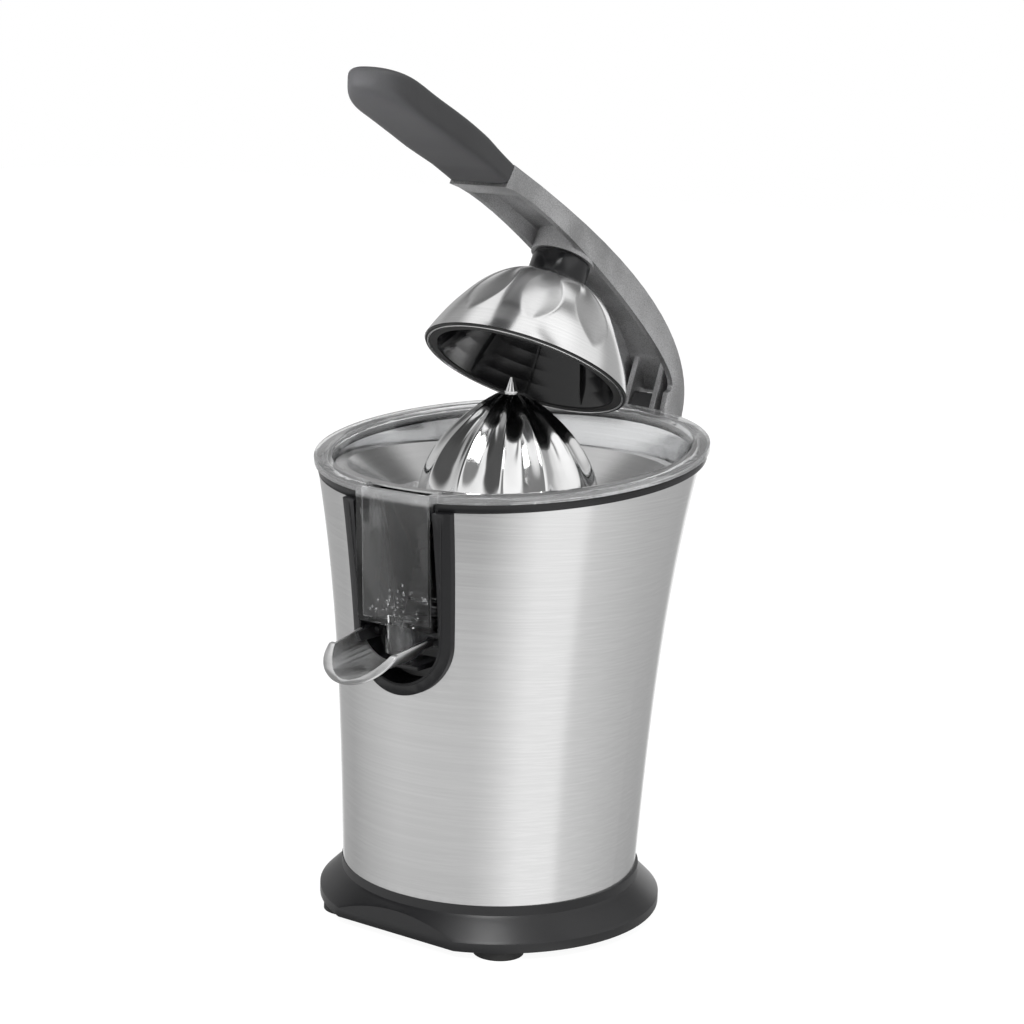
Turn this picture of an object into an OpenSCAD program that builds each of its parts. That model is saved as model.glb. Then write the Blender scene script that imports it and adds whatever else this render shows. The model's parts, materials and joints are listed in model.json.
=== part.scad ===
// Electric citrus press with a hinged lever, in millimetres.
// Origin on the table under the drive axis, front with the spout towards -Y, lever hinge towards +Y.

/* [Base] */
// Radius of the lip around the base
base_r = 81; // [78:0.5:86]
// Height of the lip's upright edge
lip_h = 4.2; // [3:0.1:6]
// Height of the top of the base above the table
base_top = 22; // [20:0.5:26]
// Height of the upright band at the top of the base
band_h = 4.5; // [3:0.5:6]
// How far the band stands out from the steel shell
band_step = 1; // [0.5:0.25:2]
// Wall of the base moulding
base_wall = 3; // [2:0.5:3.5]
// Width of the ring on which the steel shell stands
seat_w = 9; // [8:0.5:11]
// Half length of the flat at the front of the base
flat_half = 33; // [24:1:38]
// How far the base's centre lies in front of the drive axis
base_forward = 5; // [3:0.5:7]
// Thickness of the plate that closes the base
plate_t = 3; // [2.5:0.5:4]
// Radius of a rubber foot
foot_r = 11.5; // [8:0.5:11.5]
// Height of a foot below the base
foot_h = 3.8; // [3:0.1:6]
// How far the middle of a foot lies inside the lip
foot_in = 12; // [12:0.5:20]
// Angle of the front feet from the front
foot_angle = 39; // [32:1:50]
// Radius of the cord gland
gland_r = 5.5; // [4.5:0.5:6]
// Radius of the hole for the cord
cord_r = 3.2; // [2.5:0.1:3.6]

/* [Steel shell] */
// Outer radius of the shell where it stands on the base
shell_r = 69.8; // [69:0.1:72]
// Height over which the shell widens
shell_rise = 193; // [185:1:200]
// Even widening of the shell over that height
shell_taper = 9.3; // [8:0.1:11]
// How far the shell's foot lies in front of the base's centre
shell_forward = 1; // [0:0.25:1.5]
// Lean of the shell towards the rear
shell_lean = 1.2; // [1:0.1:2]
// Sheet thickness of the shell
shell_wall = 1; // [0.8:0.1:1.4]

/* [Rim and trim ring] */
// Outer radius of the bowl's rim
rim_r = 92; // [91:0.5:95]
// Height of the rim's centre above the end of the shell's widening
rim_z = 5; // [3:0.5:7]
// How far the rim's centre lies behind the drive axis
rim_back = 1.6; // [1:0.2:2.4]
// Slope of the rim, rear up
rim_tilt = 6.7; // [6:0.1:7.5]
// Thickness of the rim
rim_t = 3; // [2:0.5:4]
// How far the rim stands out over the steel shell
rim_over = 3; // [2.6:0.2:4.2]
// Height of the black trim ring under the rim
trim_h = 4; // [3:0.5:5]
// Width of the trim ring
trim_w = 3.9; // [3.4:0.1:4.2]
// How far the rim stands out over the trim ring
trim_in = 1.5; // [1:0.25:2]

/* [Juice bowl] */
// Wall of the clear bowl
bowl_wall = 2.2; // [1.8:0.1:2.6]
// Width of the rim at the rear
rim_w = 6; // [5.6:0.1:6.6]
// How far the ledge that carries the sieve lies below the rim's centre
ledge_z = 11; // [10:0.5:12.5]
// How much the bowl widens from the ledge to the rear of the rim
bowl_flare = 4.5; // [3.5:0.25:5]
// Width of the ledge under the sieve
ledge_w = 3.2; // [2.6:0.1:3.6]
// How far the bowl's floor lies below the rim's centre
bowl_floor_z = 68; // [66:0.5:70]
// Radius of the bowl's floor
bowl_floor_r = 60; // [56:1:62]
// Outer radius of the chimney round the drive shaft
chimney_r = 11; // [10.5:0.25:11.5]
// Height of the chimney above the bowl's floor
chimney_h = 29; // [24:1:31]
// Half width of the window
window_half = 20.2; // [19:0.1:21]
// How far the window's lower edge lies below the bowl's floor
window_z = 3.5; // [3:0.25:6]
// Lean of the window, top forward
window_lean = 3.4; // [2.5:0.1:4]
// How far the window's foot stands out in front of the shell
window_proud = 3.35; // [2.5:0.05:4.5]
// Outer radius of the outlet tube
outlet_r = 7.6; // [7:0.1:8.5]
// Length of the outlet tube below the window
outlet_len = 12.6; // [11:0.2:13]

/* [Sieve] */
// Sheet thickness of the sieve
sieve_wall = 0.8; // [0.6:0.1:1]
// Height of the sieve's floor above the bowl's floor
sieve_floor_z = 15; // [13:0.5:18]
// Radius of the sieve's floor
sieve_floor_r = 36; // [32:1:40]
// Radius of the sieve's waist under its sloping flange
sieve_waist_r = 57.5; // [55:0.5:60]
// How far the waist lies below the ledge
sieve_waist_z = 14; // [12:0.5:16]
// Number of slits in the floor
slit_count = 24; // [12:1:30]
// Width of a slit
slit_w = 1.6; // [1:0.1:2]

/* [Reamer] */
// Radius at the foot of the reamer
reamer_r = 43; // [41:0.5:45]
// How far the reamer's foot lies below the rim's centre
reamer_z = 31; // [28:0.5:32]
// Height of the reamer's cone
reamer_h = 55; // [53:0.5:57]
// Number of ridges
ridge_count = 12; // [8:1:14]
// Depth of the flutes between the ridges
flute_d = 4; // [2:0.25:4.5]
// Wall of the cone under the flutes
reamer_wall = 2; // [1.5:0.25:2.5]
// Height of the pointed tip
tip_h = 7.5; // [6:0.5:9]
// Radius at the foot of the tip
tip_r = 3.2; // [2.8:0.1:4]

/* [Drive] */
// Radius of the drive shaft
shaft_r = 5; // [4.5:0.1:5.5]
// How far the reamer is pressed down to start the motor
press_travel = 3; // [2:0.25:3.5]
// How far the underside of the deck lies below the bowl's floor
deck_z = 9; // [8:0.5:10]
// Thickness of the deck
deck_t = 3; // [2.5:0.25:3.5]
// Height of the gear space under the deck
gear_space = 36; // [35:0.5:38]
// Thickness of the gear plate
gear_plate_t = 3; // [2.5:0.25:4]
// How far the gear plate's edge lies inside the shell's foot
gear_plate_in = 5.8; // [4:0.2:7]
// Teeth of the output gear
output_teeth = 48; // [48:4:48]
// Teeth of the idler's small gear
idler_small_teeth = 12; // [12:1:12]
// Teeth of the idler's large gear
idler_large_teeth = 42; // [42:2:42]
// Teeth of the motor's pinion
pinion_teeth = 11; // [11:2:11]
// Tooth size (module) of the slow pair
slow_module = 1.25; // [1.2:0.01:1.3]
// Tooth size (module) of the fast pair
fast_module = 1; // [0.96:0.01:1.02]
// Face width of the output gear
output_w = 10; // [8:0.5:10.5]
// Face width of the idler's large gear
idler_w = 7; // [5:0.5:7.5]
// Radius of the motor's housing
motor_r = 25; // [22:0.5:28]
// Length of the motor's housing
motor_len = 52; // [44:1:58]

/* [Spout] */
// Half width of the spout's frame where its foot is round
frame_half = 27; // [26.4:0.1:28]
// How much wider the frame's half width is at the rim
frame_splay = 3; // [1:0.1:4]
// Width of the frame's band
frame_band = 5.4; // [4.8:0.1:5.8]
// How far the centre of the frame's round foot lies below the rim's centre
frame_z = 76.2; // [75.5:0.1:77]
// How far the frame stands out from the shell
frame_proud = 2.6; // [1:0.1:3.4]
// Lean of the frame, top forward
frame_lean = 2.5; // [2:0.1:3]
// Thickness of the wall that closes the frame at the rear
frame_wall = 2.4; // [1.6:0.1:3]
// Radius of the spout at its hinge
spout_r = 20.2; // [19:0.1:20.6]
// How much narrower the spout is at its mouth
spout_narrow = 2.9; // [2:0.1:4]
// Fall of the spout towards its mouth
spout_fall = 8.5; // [6:0.5:10]
// How far the spout's upper edges reach from its hinge
spout_reach = 27.7; // [24:0.5:30]
// Slant of the mouth, foot forward
mouth_slant = 49.6; // [40:0.2:52]
// Radius of the lip round the mouth
lip_r = 18.5; // [18:0.1:20]
// Sheet thickness of the spout
spout_wall = 1; // [0.8:0.1:1.4]

/* [Lever] */
// Distance of the hinge behind the rim
pivot_y = 19.9; // [19:0.1:21]
// How far the hinge lies below the rim's centre
pivot_z = 14; // [13:0.5:15]
// Radius of the hinge pin
pin_r = 4; // [3.5:0.1:4.5]
// Width of the arm
arm_w = 31; // [30:0.5:34]
// Side wall of the arm
arm_wall = 3; // [2.5:0.25:3.5]
// Thickness of the arm's back
arm_web = 3.2; // [2.6:0.1:3.8]
// Radius of the arm's lower end round the hinge
arm_end_r = 15; // [13.5:0.25:15.5]
// Thickness of a lug inside the arm's lower end
lug_t = 2.8; // [2.2:0.1:3.2]
// Width of the hinge tongue between the lugs
tongue_w = 12; // [10.5:0.25:12.5]
// Half width of the hinge block
block_half = 20; // [17:0.5:23]
// Width of the grip
grip_w = 33; // [32:0.5:35]

/* [Press dome] */
// Outer radius of the dome's rim
dome_r = 49.4; // [48.5:0.2:50.5]
// Height of the dome's curve
dome_h = 46.8; // [46:0.2:48.5]
// Height of the dome's rim above the reamer's foot when it stands upright over it
dome_closed_z = 8.7; // [8:0.1:10]
// Angle by which the lever is raised here
lever_open = 29.4; // [28.5:0.1:31.5]
// Sheet thickness of the dome
dome_wall = 1.2; // [1:0.1:1.4]
// Number of hollows pressed into the dome
hollow_count = 9; // [6:1:10]
// Depth of those hollows
hollow_d = 2; // [1:0.25:2.25]
// Thickness of the liner inside the dome
liner_t = 2; // [1.5:0.25:2.5]
// Radius of the collar on the dome
collar_r = 14; // [13.5:0.1:14.6]
// Height of the collar
collar_h = 10.5; // [9.5:0.25:11]
// Radius of the dome's bolt
bolt_r = 3; // [2.5:0.1:3.4]

/* [Hidden] */
$fn = 96;
// Fits: sliding pieces, pieces put together with play, moving pieces that pass each other
running = 0.05;
fit = 0.3;
pass = 0.5;
// Play between curved faces that lie on each other
seat_gap = 0.15;
// More than any piece, for cuts that go right through
far = 400;
// Steps along a curved outline
steps = 20;
inside_levels = 10;

// Levels above the table, from the base up
top_level = base_top + shell_rise;
rim_level = top_level + rim_z;
ledge_level = rim_level - ledge_z;
floor_level = rim_level - bowl_floor_z;
window_level = floor_level - window_z;
sieve_level = floor_level + sieve_floor_z;
waist_level = ledge_level - sieve_waist_z;
reamer_level = rim_level - reamer_z;
deck_level = floor_level - deck_z;
frame_level = rim_level - frame_z;
pivot_level = rim_level - pivot_z;
dome_level = reamer_level + dome_closed_z;

base_y = -base_forward;
shell_y = base_y - shell_forward;
hinge_y = rim_back + rim_r + pivot_y;
foot_ring = base_r - foot_in;
flat_y = base_y - sqrt(base_r * base_r - flat_half * flat_half);
band_r = shell_r + band_step;
base_floor = foot_h + plate_t;
shell_top_r = rim_r - rim_over;
shell_flare = shell_top_r - shell_r - shell_taper;
trim_r = rim_r - trim_in;
trim_low = -rim_t - trim_h;

// Bowl and sieve
bowl_top_r = rim_r - rim_w;
bowl_top_z = rim_level + rim_r * tan(rim_tilt);
ledge_r = bowl_top_r - bowl_flare;
sieve_rim_r = ledge_r - 2.8;
bowl_neck_r = ledge_r - ledge_w - 1.8;
bowl_under = floor_level - bowl_wall;
bowl_knee = [4, 13];
chimney_bore = chimney_r - bowl_wall;
chimney_top = floor_level + chimney_h;
window_top_z = rim_level - rim_r * sin(rim_tilt);
window_front = window_proud - front_y(window_level) + (window_top_z - window_level) * tan(window_lean);
sump_rear = -45;
outlet_y = -window_front + 10;
outlet_wall = 1.5;
sieve_tube_r = chimney_r + 2.5;
sieve_tube_top = chimney_top - 2;

// Reamer
cavity_top = reamer_level + reamer_h - 10;
hub_r = 12;
hub_z = chimney_top + press_travel + 2;
stud_r = 2.6;

// Drive, from the deck down
deck_top = deck_level + deck_t;
gear_plate_top = deck_level - gear_space;
gear_plate_under = gear_plate_top - gear_plate_t;
fast_z = gear_plate_top + 1.5;
slow_z = fast_z + idler_w + 1.5;
hub_top = slow_z + output_w + 1;
shaft_collar_z = deck_level - 5;
shaft_collar_t = 2;
journal_r = shaft_r - 1.3;
flat_x = shaft_r - 1.2;
nose_r = 1.5;
nose_z = gear_plate_under - 6;
slow_distance = slow_module * (output_teeth + idler_small_teeth) / 2;
fast_distance = fast_module * (idler_large_teeth + pinion_teeth) / 2;
idler_at = [0, slow_distance];
motor_turn = -40;
motor_at = idler_at + fast_distance * [cos(motor_turn), sin(motor_turn)];
idler_pin_r = 3;
motor_shaft_r = 3;
motor_top = gear_plate_under - 16;
motor_low = motor_top - motor_len;
motor_post_ring = 20;
motor_post_r = 3.5;
gear_plate_edge = shell_r - gear_plate_in;
tie_ring = gear_plate_edge - 12;
tie_at = [for (a = [-48, -132, 4, 150]) tie_ring * [cos(a), sin(a)]];
tie_r = 2;
post_r = 5.5;
switch_pivot = [-18, nose_z - 4];

// Spout and its frame
frame_inner = frame_half - frame_band;
frame_rear = outlet_y + outlet_r + 3.3;
spout_pivot = [frame_rear - 11.2, frame_level + 0.7];
spout_rear = -6.5;
mouth_top = [-spout_reach, -2.4];
mouth_way = [-sin(mouth_slant), -cos(mouth_slant)];
spout_pin_r = 1.6;
pin_at = spout_pivot + [2, -1.6];
strip_t = 1.4;

// Lever: control points of its upper and lower outline, from the hinge, in Y and Z
pivot = [hinge_y, pivot_level];
arm_top = [[17, 16.5], [23.5, 35], [16, 77.5], [-139.5, 143.5]];
arm_low = [[2.5, 29], [31.5, 32], [-102.5, 125.5], [-145.5, 134]];
grip_side = [[-137.5, 143], [-151, 150.5], [-160.5, 156], [-175.5, 163], [-186.5, 168], [-195.5, 172],
    [-206, 177], [-216.5, 181.5], [-223, 184], [-227, 183.5], [-228.8, 180], [-228.5, 176], [-225, 171.5],
    [-217, 167], [-209, 163.5], [-199, 159], [-188, 154.5], [-177, 149.5], [-159, 142], [-143, 134]];
grip_end = -212.3;
tang = [[-133, 137.5], [-200, 168.5], [-202, 164], [-136, 132.8]];
lug_gap = tongue_w / 2 + pass;
slot_r = 31.5;
tongue_top = [[4.5, 27], [11.5, 26.5]];
block_top = pivot_level - arm_end_r - 4;
dome_top_z = dome_h - 1.1;
collar_z = dome_top_z;
boss_z = collar_z + collar_h + fit;
boss_r = collar_r + 1.4;
boss_h = 9;
seal_h = 0.8;
back_t = 3;
screw_in = 8;
screw_head = 2.5;
screw_r = 1.6;

node_feet = [for (i = [1:4]) str("foot_", i)];

// Curves
function unit(v) = v / norm(v);
function left_of(v) = [-v[1], v[0]];
function bez(p, t) = pow(1 - t, 3) * p[0] + 3 * t * pow(1 - t, 2) * p[1]
    + 3 * t * t * (1 - t) * p[2] + pow(t, 3) * p[3];
function bez_way(p, t) = unit(pow(1 - t, 2) * (p[1] - p[0]) + 2 * t * (1 - t) * (p[2] - p[1])
    + t * t * (p[3] - p[2]));
function bez_run(p, from, to, out = 0, n = steps) =
    [for (i = [0:n]) let (t = from + (to - from) * i / n) bez(p, t) + out * left_of(bez_way(p, t))];
function turned(list) = [for (i = [len(list) - 1:-1:0]) list[i]];

// Places
module at_base() translate([0, base_y, 0]) children();
module at_lean() translate([0, shell_y, base_top]) rotate([-shell_lean, 0, 0]) children();
module at_rim() translate([0, rim_back, rim_level]) rotate([rim_tilt, 0, 0]) children();
module at_frame() translate([0, front_y(frame_level), frame_level]) rotate([90 + frame_lean, 0, 0]) children();
module at_pivot() translate([0, hinge_y, pivot_level]) children();
module at_dome() at_pivot() rotate([-lever_open, 0, 0])
    translate([0, -hinge_y, dome_level - pivot_level]) children();
module at_foot(i) at_base() rotate(-90 + [foot_angle, 180 - foot_angle, 180 + foot_angle, -foot_angle][i - 1])
    translate([foot_ring, 0, 0]) children();

// Shapes used by several pieces
module ring(r_out, r_in, h) difference() {
    cylinder(r = r_out, h = h);
    translate([0, 0, -1]) cylinder(r = r_in, h = h + 2);
}
module tube(r_out, r_in, z_low, z_high) translate([0, 0, z_low]) ring(r_out, r_in, z_high - z_low);
module side(width) rotate([90, 0, 90]) linear_extrude(width, center = true) children();
module across_x(r, length) rotate([0, 90, 0]) cylinder(r = r, h = length, center = true);
module block(low, high) translate(low) cube(high - low);
module above_rim(offset) at_rim() translate([-far, -far, offset]) cube([2 * far, 2 * far, far]);
module d_shape(r, flat) difference() {
    circle(r = r);
    translate([flat, -far]) square([far, 2 * far]);
}
function shell_radius(h) = shell_r + shell_taper * h / shell_rise + shell_flare * pow(h / shell_rise, 3);
// Places of the shell's front and rear at a height above the table
function lean_y(z) = shell_y + (z - base_top) * tan(shell_lean);
function front_y(z) = lean_y(z) - shell_radius(z - base_top);
function rear_y(z) = lean_y(z) + shell_radius(z - base_top);
module shell_skin(grow = 0) {
    low = -4;
    high = shell_rise + 18;
    outline = [for (i = [0:steps]) let (h = low + (high - low) * i / steps) [shell_radius(h) + grow, h]];
    at_lean() rotate_extrude() polygon(concat([[0, low]], outline, [[0, high]]));
}
// A closed skin through rings of points, the last ring joined to the first
module ring_skin(rings) {
    n = len(rings);
    m = len(rings[0]);
    points = [for (r = rings) each r];
    faces = [for (i = [0:n - 1], j = [0:m - 1])
        let (a = i * m + j, b = i * m + (j + 1) % m, c = (i + 1) % n * m + j, d = (i + 1) % n * m + (j + 1) % m)
        each [[a, d, b], [a, c, d]]];
    polyhedron(points, faces);
}

// Base
function slope_point(s) = [band_r + (base_r - band_r) * pow(1 - s, 0.95),
    foot_h + lip_h + (base_top - band_h - foot_h - lip_h) * s];
module base_inside(gap) intersection() {
    at_base() rotate_extrude() polygon([[0, foot_h - 1], [base_r - base_wall - gap, foot_h - 1],
        [base_r - base_wall - gap, base_floor + 1], [shell_r - seat_w, base_top - base_wall], [0, base_top]]);
    block([-far, flat_y + base_wall + gap, -far], [far, far, far]);
}
module base_bosses(r, z_low, z_high) at_base() for (a = [30, 150, 215, 325]) rotate(a)
    translate([shell_r - seat_w / 2, 0, z_low]) cylinder(r = r, h = z_high - z_low);
module gland_place(r, y_low, y_high) translate([0, y_high, foot_h + lip_h + gland_r])
    rotate([90, 0, 0]) cylinder(r = r, h = y_high - y_low);
module base_skirt() color("#202022") difference() {
    union() {
        difference() {
            intersection() {
                at_base() rotate_extrude() polygon(concat([[0, foot_h], [base_r, foot_h]],
                    [for (i = [0:8]) slope_point(i / 8)], [[band_r, base_top], [0, base_top]]));
                block([-far, flat_y, -far], [far, far, far]);
            }
            base_inside(0);
            at_base() cylinder(r = shell_r - seat_w, h = far);
        }
        base_bosses(4, base_floor, base_top - 1);
    }
    base_bosses(screw_r, base_floor - 1, base_top - 4);
    gland_place(gland_r, 0, far);
}
module base_plate() color("#2a2a2c") difference() {
    union() {
        intersection() {
            base_inside(fit);
            block([-far, -far, foot_h], [far, far, base_floor]);
        }
        for (p = tie_at) translate(p) tube(post_r, tie_r, base_floor - 1, gear_plate_under);
    }
    for (i = [1:4]) at_foot(i) cylinder(r = 3, h = far);
    base_bosses(screw_r, -1, far);
    base_bosses(screw_r + 1.5, -1, foot_h + 1.6);
    for (p = tie_at) translate(p) {
        translate([0, 0, -1]) cylinder(r = tie_r, h = far);
        translate([0, 0, -1]) cylinder(r = tie_r + 2, h = foot_h + 2.6);
    }
}
module foot(i) color("#161616") at_foot(i) {
    cylinder(r = foot_r, h = foot_h);
    cylinder(r = 3, h = base_floor);
}
module base_screws() color("silver") {
    base_bosses(screw_r, foot_h + 0.1, base_top - 5);
    base_bosses(screw_r + 1.5, foot_h + 0.1, foot_h + 1.6);
}
module cord_gland() color("#161616") difference() {
    gland_place(gland_r, base_y + shell_r - seat_w + 4, base_y + base_r - 3);
    gland_place(cord_r, 0, far);
}
module tie_bolts() color("silver") for (p = tie_at) translate(p) {
    translate([0, 0, foot_h + 0.1]) cylinder(r = tie_r, h = gear_plate_top + 20 - foot_h);
    translate([0, 0, foot_h + 0.1]) cylinder(r = tie_r + 2, h = 1.5);
}
module terminal_block() color("#d8d4c8") difference() {
    block([-44, -2, base_floor], [-20, 12, base_floor + 12]);
    for (x = [-40, -32, -24]) translate([x, 5, base_floor + 4]) cylinder(r = 2.2, h = far);
}

// Shell, trim and frame of the spout
module frame_outline(grow) union() {
    high = 70;
    circle(r = frame_half + grow);
    polygon([[-frame_half - grow, 0], [frame_half + grow, 0],
        [frame_half + frame_splay + grow, high], [-frame_half - frame_splay - grow, high]]);
}
module frame_mouth() union() {
    circle(r = frame_inner);
    translate([-frame_inner, 0]) square([2 * frame_inner, far]);
}
module steel_shell() color("#c9cacb") difference() {
    shell_skin();
    shell_skin(-shell_wall);
    block([-far, -far, -far], [far, far, base_top]);
    above_rim(trim_low);
    at_frame() translate([0, 0, -shell_r / 2]) linear_extrude(far) frame_outline(fit / 2);
    hinge_screw_places(screw_r + 0.5, -shell_r / 2, shell_r / 2);
}
module trim_ring() color("#1b1b1c") difference() {
    at_rim() translate([0, 0, trim_low]) ring(trim_r, trim_r - trim_w, trim_h);
    block([-window_half - fit, -far, 0], [window_half + fit, 0, far]);
}
module frame_prism() at_frame() translate([0, 0, -shell_r / 2]) linear_extrude(shell_r) children();
module spout_frame() color("#1f1f20") difference() {
    union() {
        intersection() {
            shell_skin(frame_proud);
            frame_prism() difference() {
                frame_outline(0);
                frame_mouth();
            }
            block([-far, -far, 0], [far, frame_rear + 0.5, far]);
        }
        intersection() {
            frame_prism() frame_outline(0);
            block([-far, frame_rear, 0], [far, frame_rear + frame_wall, frame_level + 0.6]);
        }
        side(26) polygon([[frame_rear + 0.5, frame_level - 10.7], [spout_pivot[0] - 5.2, frame_level - 11.6],
            [spout_pivot[0] - 5.2, frame_level - 13.6], [frame_rear + 0.5, frame_level - 13.6]]);
    }
    above_rim(trim_low);
    rotate_extrude() polygon(concat([[0, bowl_under - fit]], bowl_side(bowl_wall + fit), [[0, bowl_top_z]]));
    translate([0, pin_at[0], pin_at[1]]) across_x(spout_pin_r + running, 2 * frame_inner + 6);
}
housing_gap = 2;
housing_wall = 2.2;
housing_low_r = bowl_floor_r + bowl_wall + housing_gap;
housing_high_r = bowl_floor_r + bowl_knee[0] + (bowl_neck_r - bowl_floor_r - bowl_knee[0])
    * (waist_level - floor_level - bowl_knee[1]) / (ledge_level - floor_level - bowl_knee[1]) + bowl_wall + housing_gap;
function housing_r(z) = housing_low_r + (housing_high_r - housing_low_r) * (z - deck_level) / (waist_level - deck_level);
module inner_housing() color("#242426") {
    wall = housing_wall;
    difference() {
        union() {
            rotate_extrude() polygon([[0, deck_level], [housing_r(deck_level) + wall, deck_level], [housing_r(waist_level) + wall, waist_level],
                [housing_r(waist_level), waist_level], [housing_r(deck_top), deck_top], [0, deck_top]]);
            intersection() {
                shell_skin(-shell_wall - fit);
                translate([0, 0, waist_level - 2]) ring(rim_r, housing_r(waist_level - 2) + wall / 2, 2);
            }
            for (p = tie_at) translate(p) tube(post_r, tie_r, gear_plate_top, deck_level + 0.5);
        }
        for (p = tie_at) translate([p[0], p[1], gear_plate_top - 1]) cylinder(r = tie_r, h = 22);
        block([-frame_half - 2.5, -far, deck_level - 1], [frame_half + 2.5, frame_rear + frame_wall + 3.6, far]);
        translate([0, 0, deck_level - 1]) cylinder(r = 8, h = deck_t + 2);
        translate([idler_at[0], idler_at[1], deck_level - 1]) cylinder(r = idler_pin_r, h = deck_t + 2);
    }
}

// Hinge block on the rear of the shell
// Screws of the hinge block, from one distance off the shell's outside to another
module hinge_screw_places(r, from, to) for (x = [-10, 10], z = [deck_level - 31, deck_level - 9])
    translate([x, rear_y(z) + to, z]) rotate([90, 0, 0]) cylinder(r = r, h = to - from);
module hinge_block() color("#3a3b3d") difference() {
    union() {
        side(2 * block_half) polygon([[hinge_y / 2, deck_level - 39], [hinge_y / 2, block_top], [hinge_y + 11, block_top],
            [hinge_y + 11, block_top - 9], [hinge_y - 16, deck_level + 7], [rear_y(deck_level - 39) + 13, deck_level - 39]]);
        side(tongue_w) translate(pivot) {
            circle(r = 12);
            polygon([[-12, 0], [-12, block_top - pivot_level - 1], [12, block_top - pivot_level - 1], [12, 0],
                tongue_top[1], tongue_top[0]]);
        }
    }
    shell_skin(seat_gap);
    at_pivot() across_x(pin_r + 2, far);
    hinge_screw_places(screw_r, -shell_r / 2, screw_in + 1);
}
module hinge_backplate() color("silver") difference() {
    intersection() {
        shell_skin(-shell_wall - seat_gap);
        block([-16, 0, deck_level - 37], [16, far, deck_level - 3]);
    }
    shell_skin(-shell_wall - back_t);
    hinge_screw_places(screw_r, -shell_r / 2, shell_r / 2);
}
module hinge_screws() color("silver") {
    head = -shell_wall - back_t - 1.6;
    hinge_screw_places(screw_r, head - screw_head, screw_in);
    hinge_screw_places(screw_r + 1.8, head - screw_head, head);
}
module hinge_bush() color("#e6e2d6") at_pivot() difference() {
    across_x(pin_r + 2, tongue_w);
    across_x(pin_r + running, far);
}

// Bowl and sieve
module window_box(in, z_low) side(2 * (window_half - in)) polygon([
    [-window_front + in + (window_top_z - z_low) * tan(window_lean), z_low], [sump_rear - in, z_low],
    [sump_rear - in, bowl_top_z], [-window_front + in - (bowl_top_z - window_top_z) * tan(window_lean), bowl_top_z]]);
function bowl_side(out) = [[bowl_floor_r + out, floor_level - out], [bowl_floor_r + bowl_knee[0] + out,
    floor_level + bowl_knee[1]], [bowl_neck_r + out, ledge_level - out], [ledge_r + out, ledge_level - out],
    [bowl_top_r + out, bowl_top_z]];
module juice_bowl() color([0.85, 0.88, 0.9, 0.4]) difference() {
    union() {
        difference() {
            rotate_extrude() polygon(concat([[0, bowl_under]], bowl_side(bowl_wall), [[0, bowl_top_z]]));
            rotate_extrude() polygon(concat([[chimney_r, floor_level]], bowl_side(0),
                [[0, bowl_top_z + 1], [0, chimney_top], [chimney_r, chimney_top]]));
        }
        difference() {
            union() {
                at_rim() translate([0, 0, -rim_t]) cylinder(r = rim_r, h = rim_t);
                window_box(0, window_level);
            }
            rotate_extrude() polygon(concat([[0, floor_level]], bowl_side(0), [[0, bowl_top_z + 1]]));
        }
        translate([0, outlet_y, window_level - outlet_len]) cylinder(r = outlet_r, h = outlet_len + 1);
    }
    window_box(bowl_wall, window_level + bowl_wall);
    translate([0, outlet_y, 0]) cylinder(r = outlet_r - outlet_wall, h = window_level + 2 * bowl_wall);
    translate([0, 0, bowl_under - 1]) cylinder(r = chimney_bore, h = far);
    above_rim(0);
}
function sieve_side(in) = [[sieve_floor_r - in / 2, sieve_level + in], [0.62 * sieve_floor_r + 0.38 * sieve_waist_r - in,
    0.8 * sieve_level + 0.2 * waist_level + in], [0.2 * sieve_floor_r + 0.8 * sieve_waist_r - in,
    0.4 * sieve_level + 0.6 * waist_level + in / 2], [sieve_waist_r - in, waist_level]];
module sieve() color("#c4c5c6") difference() {
    rotate_extrude() polygon(concat([[sieve_tube_r, sieve_level]], sieve_side(0),
        [[bowl_neck_r - fit, ledge_level - fit], [bowl_neck_r - fit, ledge_level], [sieve_rim_r + 2, ledge_level],
        [sieve_rim_r + 2, ledge_level + sieve_wall], [bowl_neck_r - fit - sieve_wall, ledge_level + sieve_wall]],
        turned(sieve_side(sieve_wall)), [[sieve_tube_r + sieve_wall, sieve_level + sieve_wall],
        [sieve_tube_r + sieve_wall, sieve_tube_top], [sieve_tube_r, sieve_tube_top]]));
    for (i = [0:slit_count - 1]) rotate(360 * (i + 0.5) / slit_count)
        block([sieve_tube_r + 4, -slit_w / 2, sieve_level - 5],
            [sieve_waist_r - 6, slit_w / 2, sieve_level + 9]);
}

// Reamer
function reamer_at(s) = reamer_r * pow(1 - pow(s * reamer_h / (reamer_h + 3), 2.2), 0.85);
function reamer_ring(s, points) = [for (j = [0:points - 1])
    let (a = 360 * j / points, d = flute_d * min(1, 2.5 * s, 5 * (1 - s) + 0.15) * abs(sin(ridge_count * a / 2)))
    [(reamer_at(s) - d) * cos(a), (reamer_at(s) - d) * sin(a), reamer_level + s * reamer_h]];
function plain_ring(r, z, points) = [for (j = [0:points - 1]) [r * cos(360 * j / points), r * sin(360 * j / points), z]];
module reamer_cone() color("#d4d5d6") {
    points = 8 * ridge_count;
    cavity_s = (cavity_top - reamer_level) / reamer_h;
    inner = flute_d + reamer_wall;
    ring_skin(concat([for (i = [0:11]) reamer_ring(sin(90 * i / 11), points)],
        [plain_ring(stud_r, reamer_level + reamer_h, points), plain_ring(stud_r, cavity_top, points)],
        [for (i = [4:-1:0]) plain_ring(reamer_at(cavity_s * i / 4) - inner, reamer_level + cavity_s * reamer_h * i / 4, points)]));
}
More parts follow.
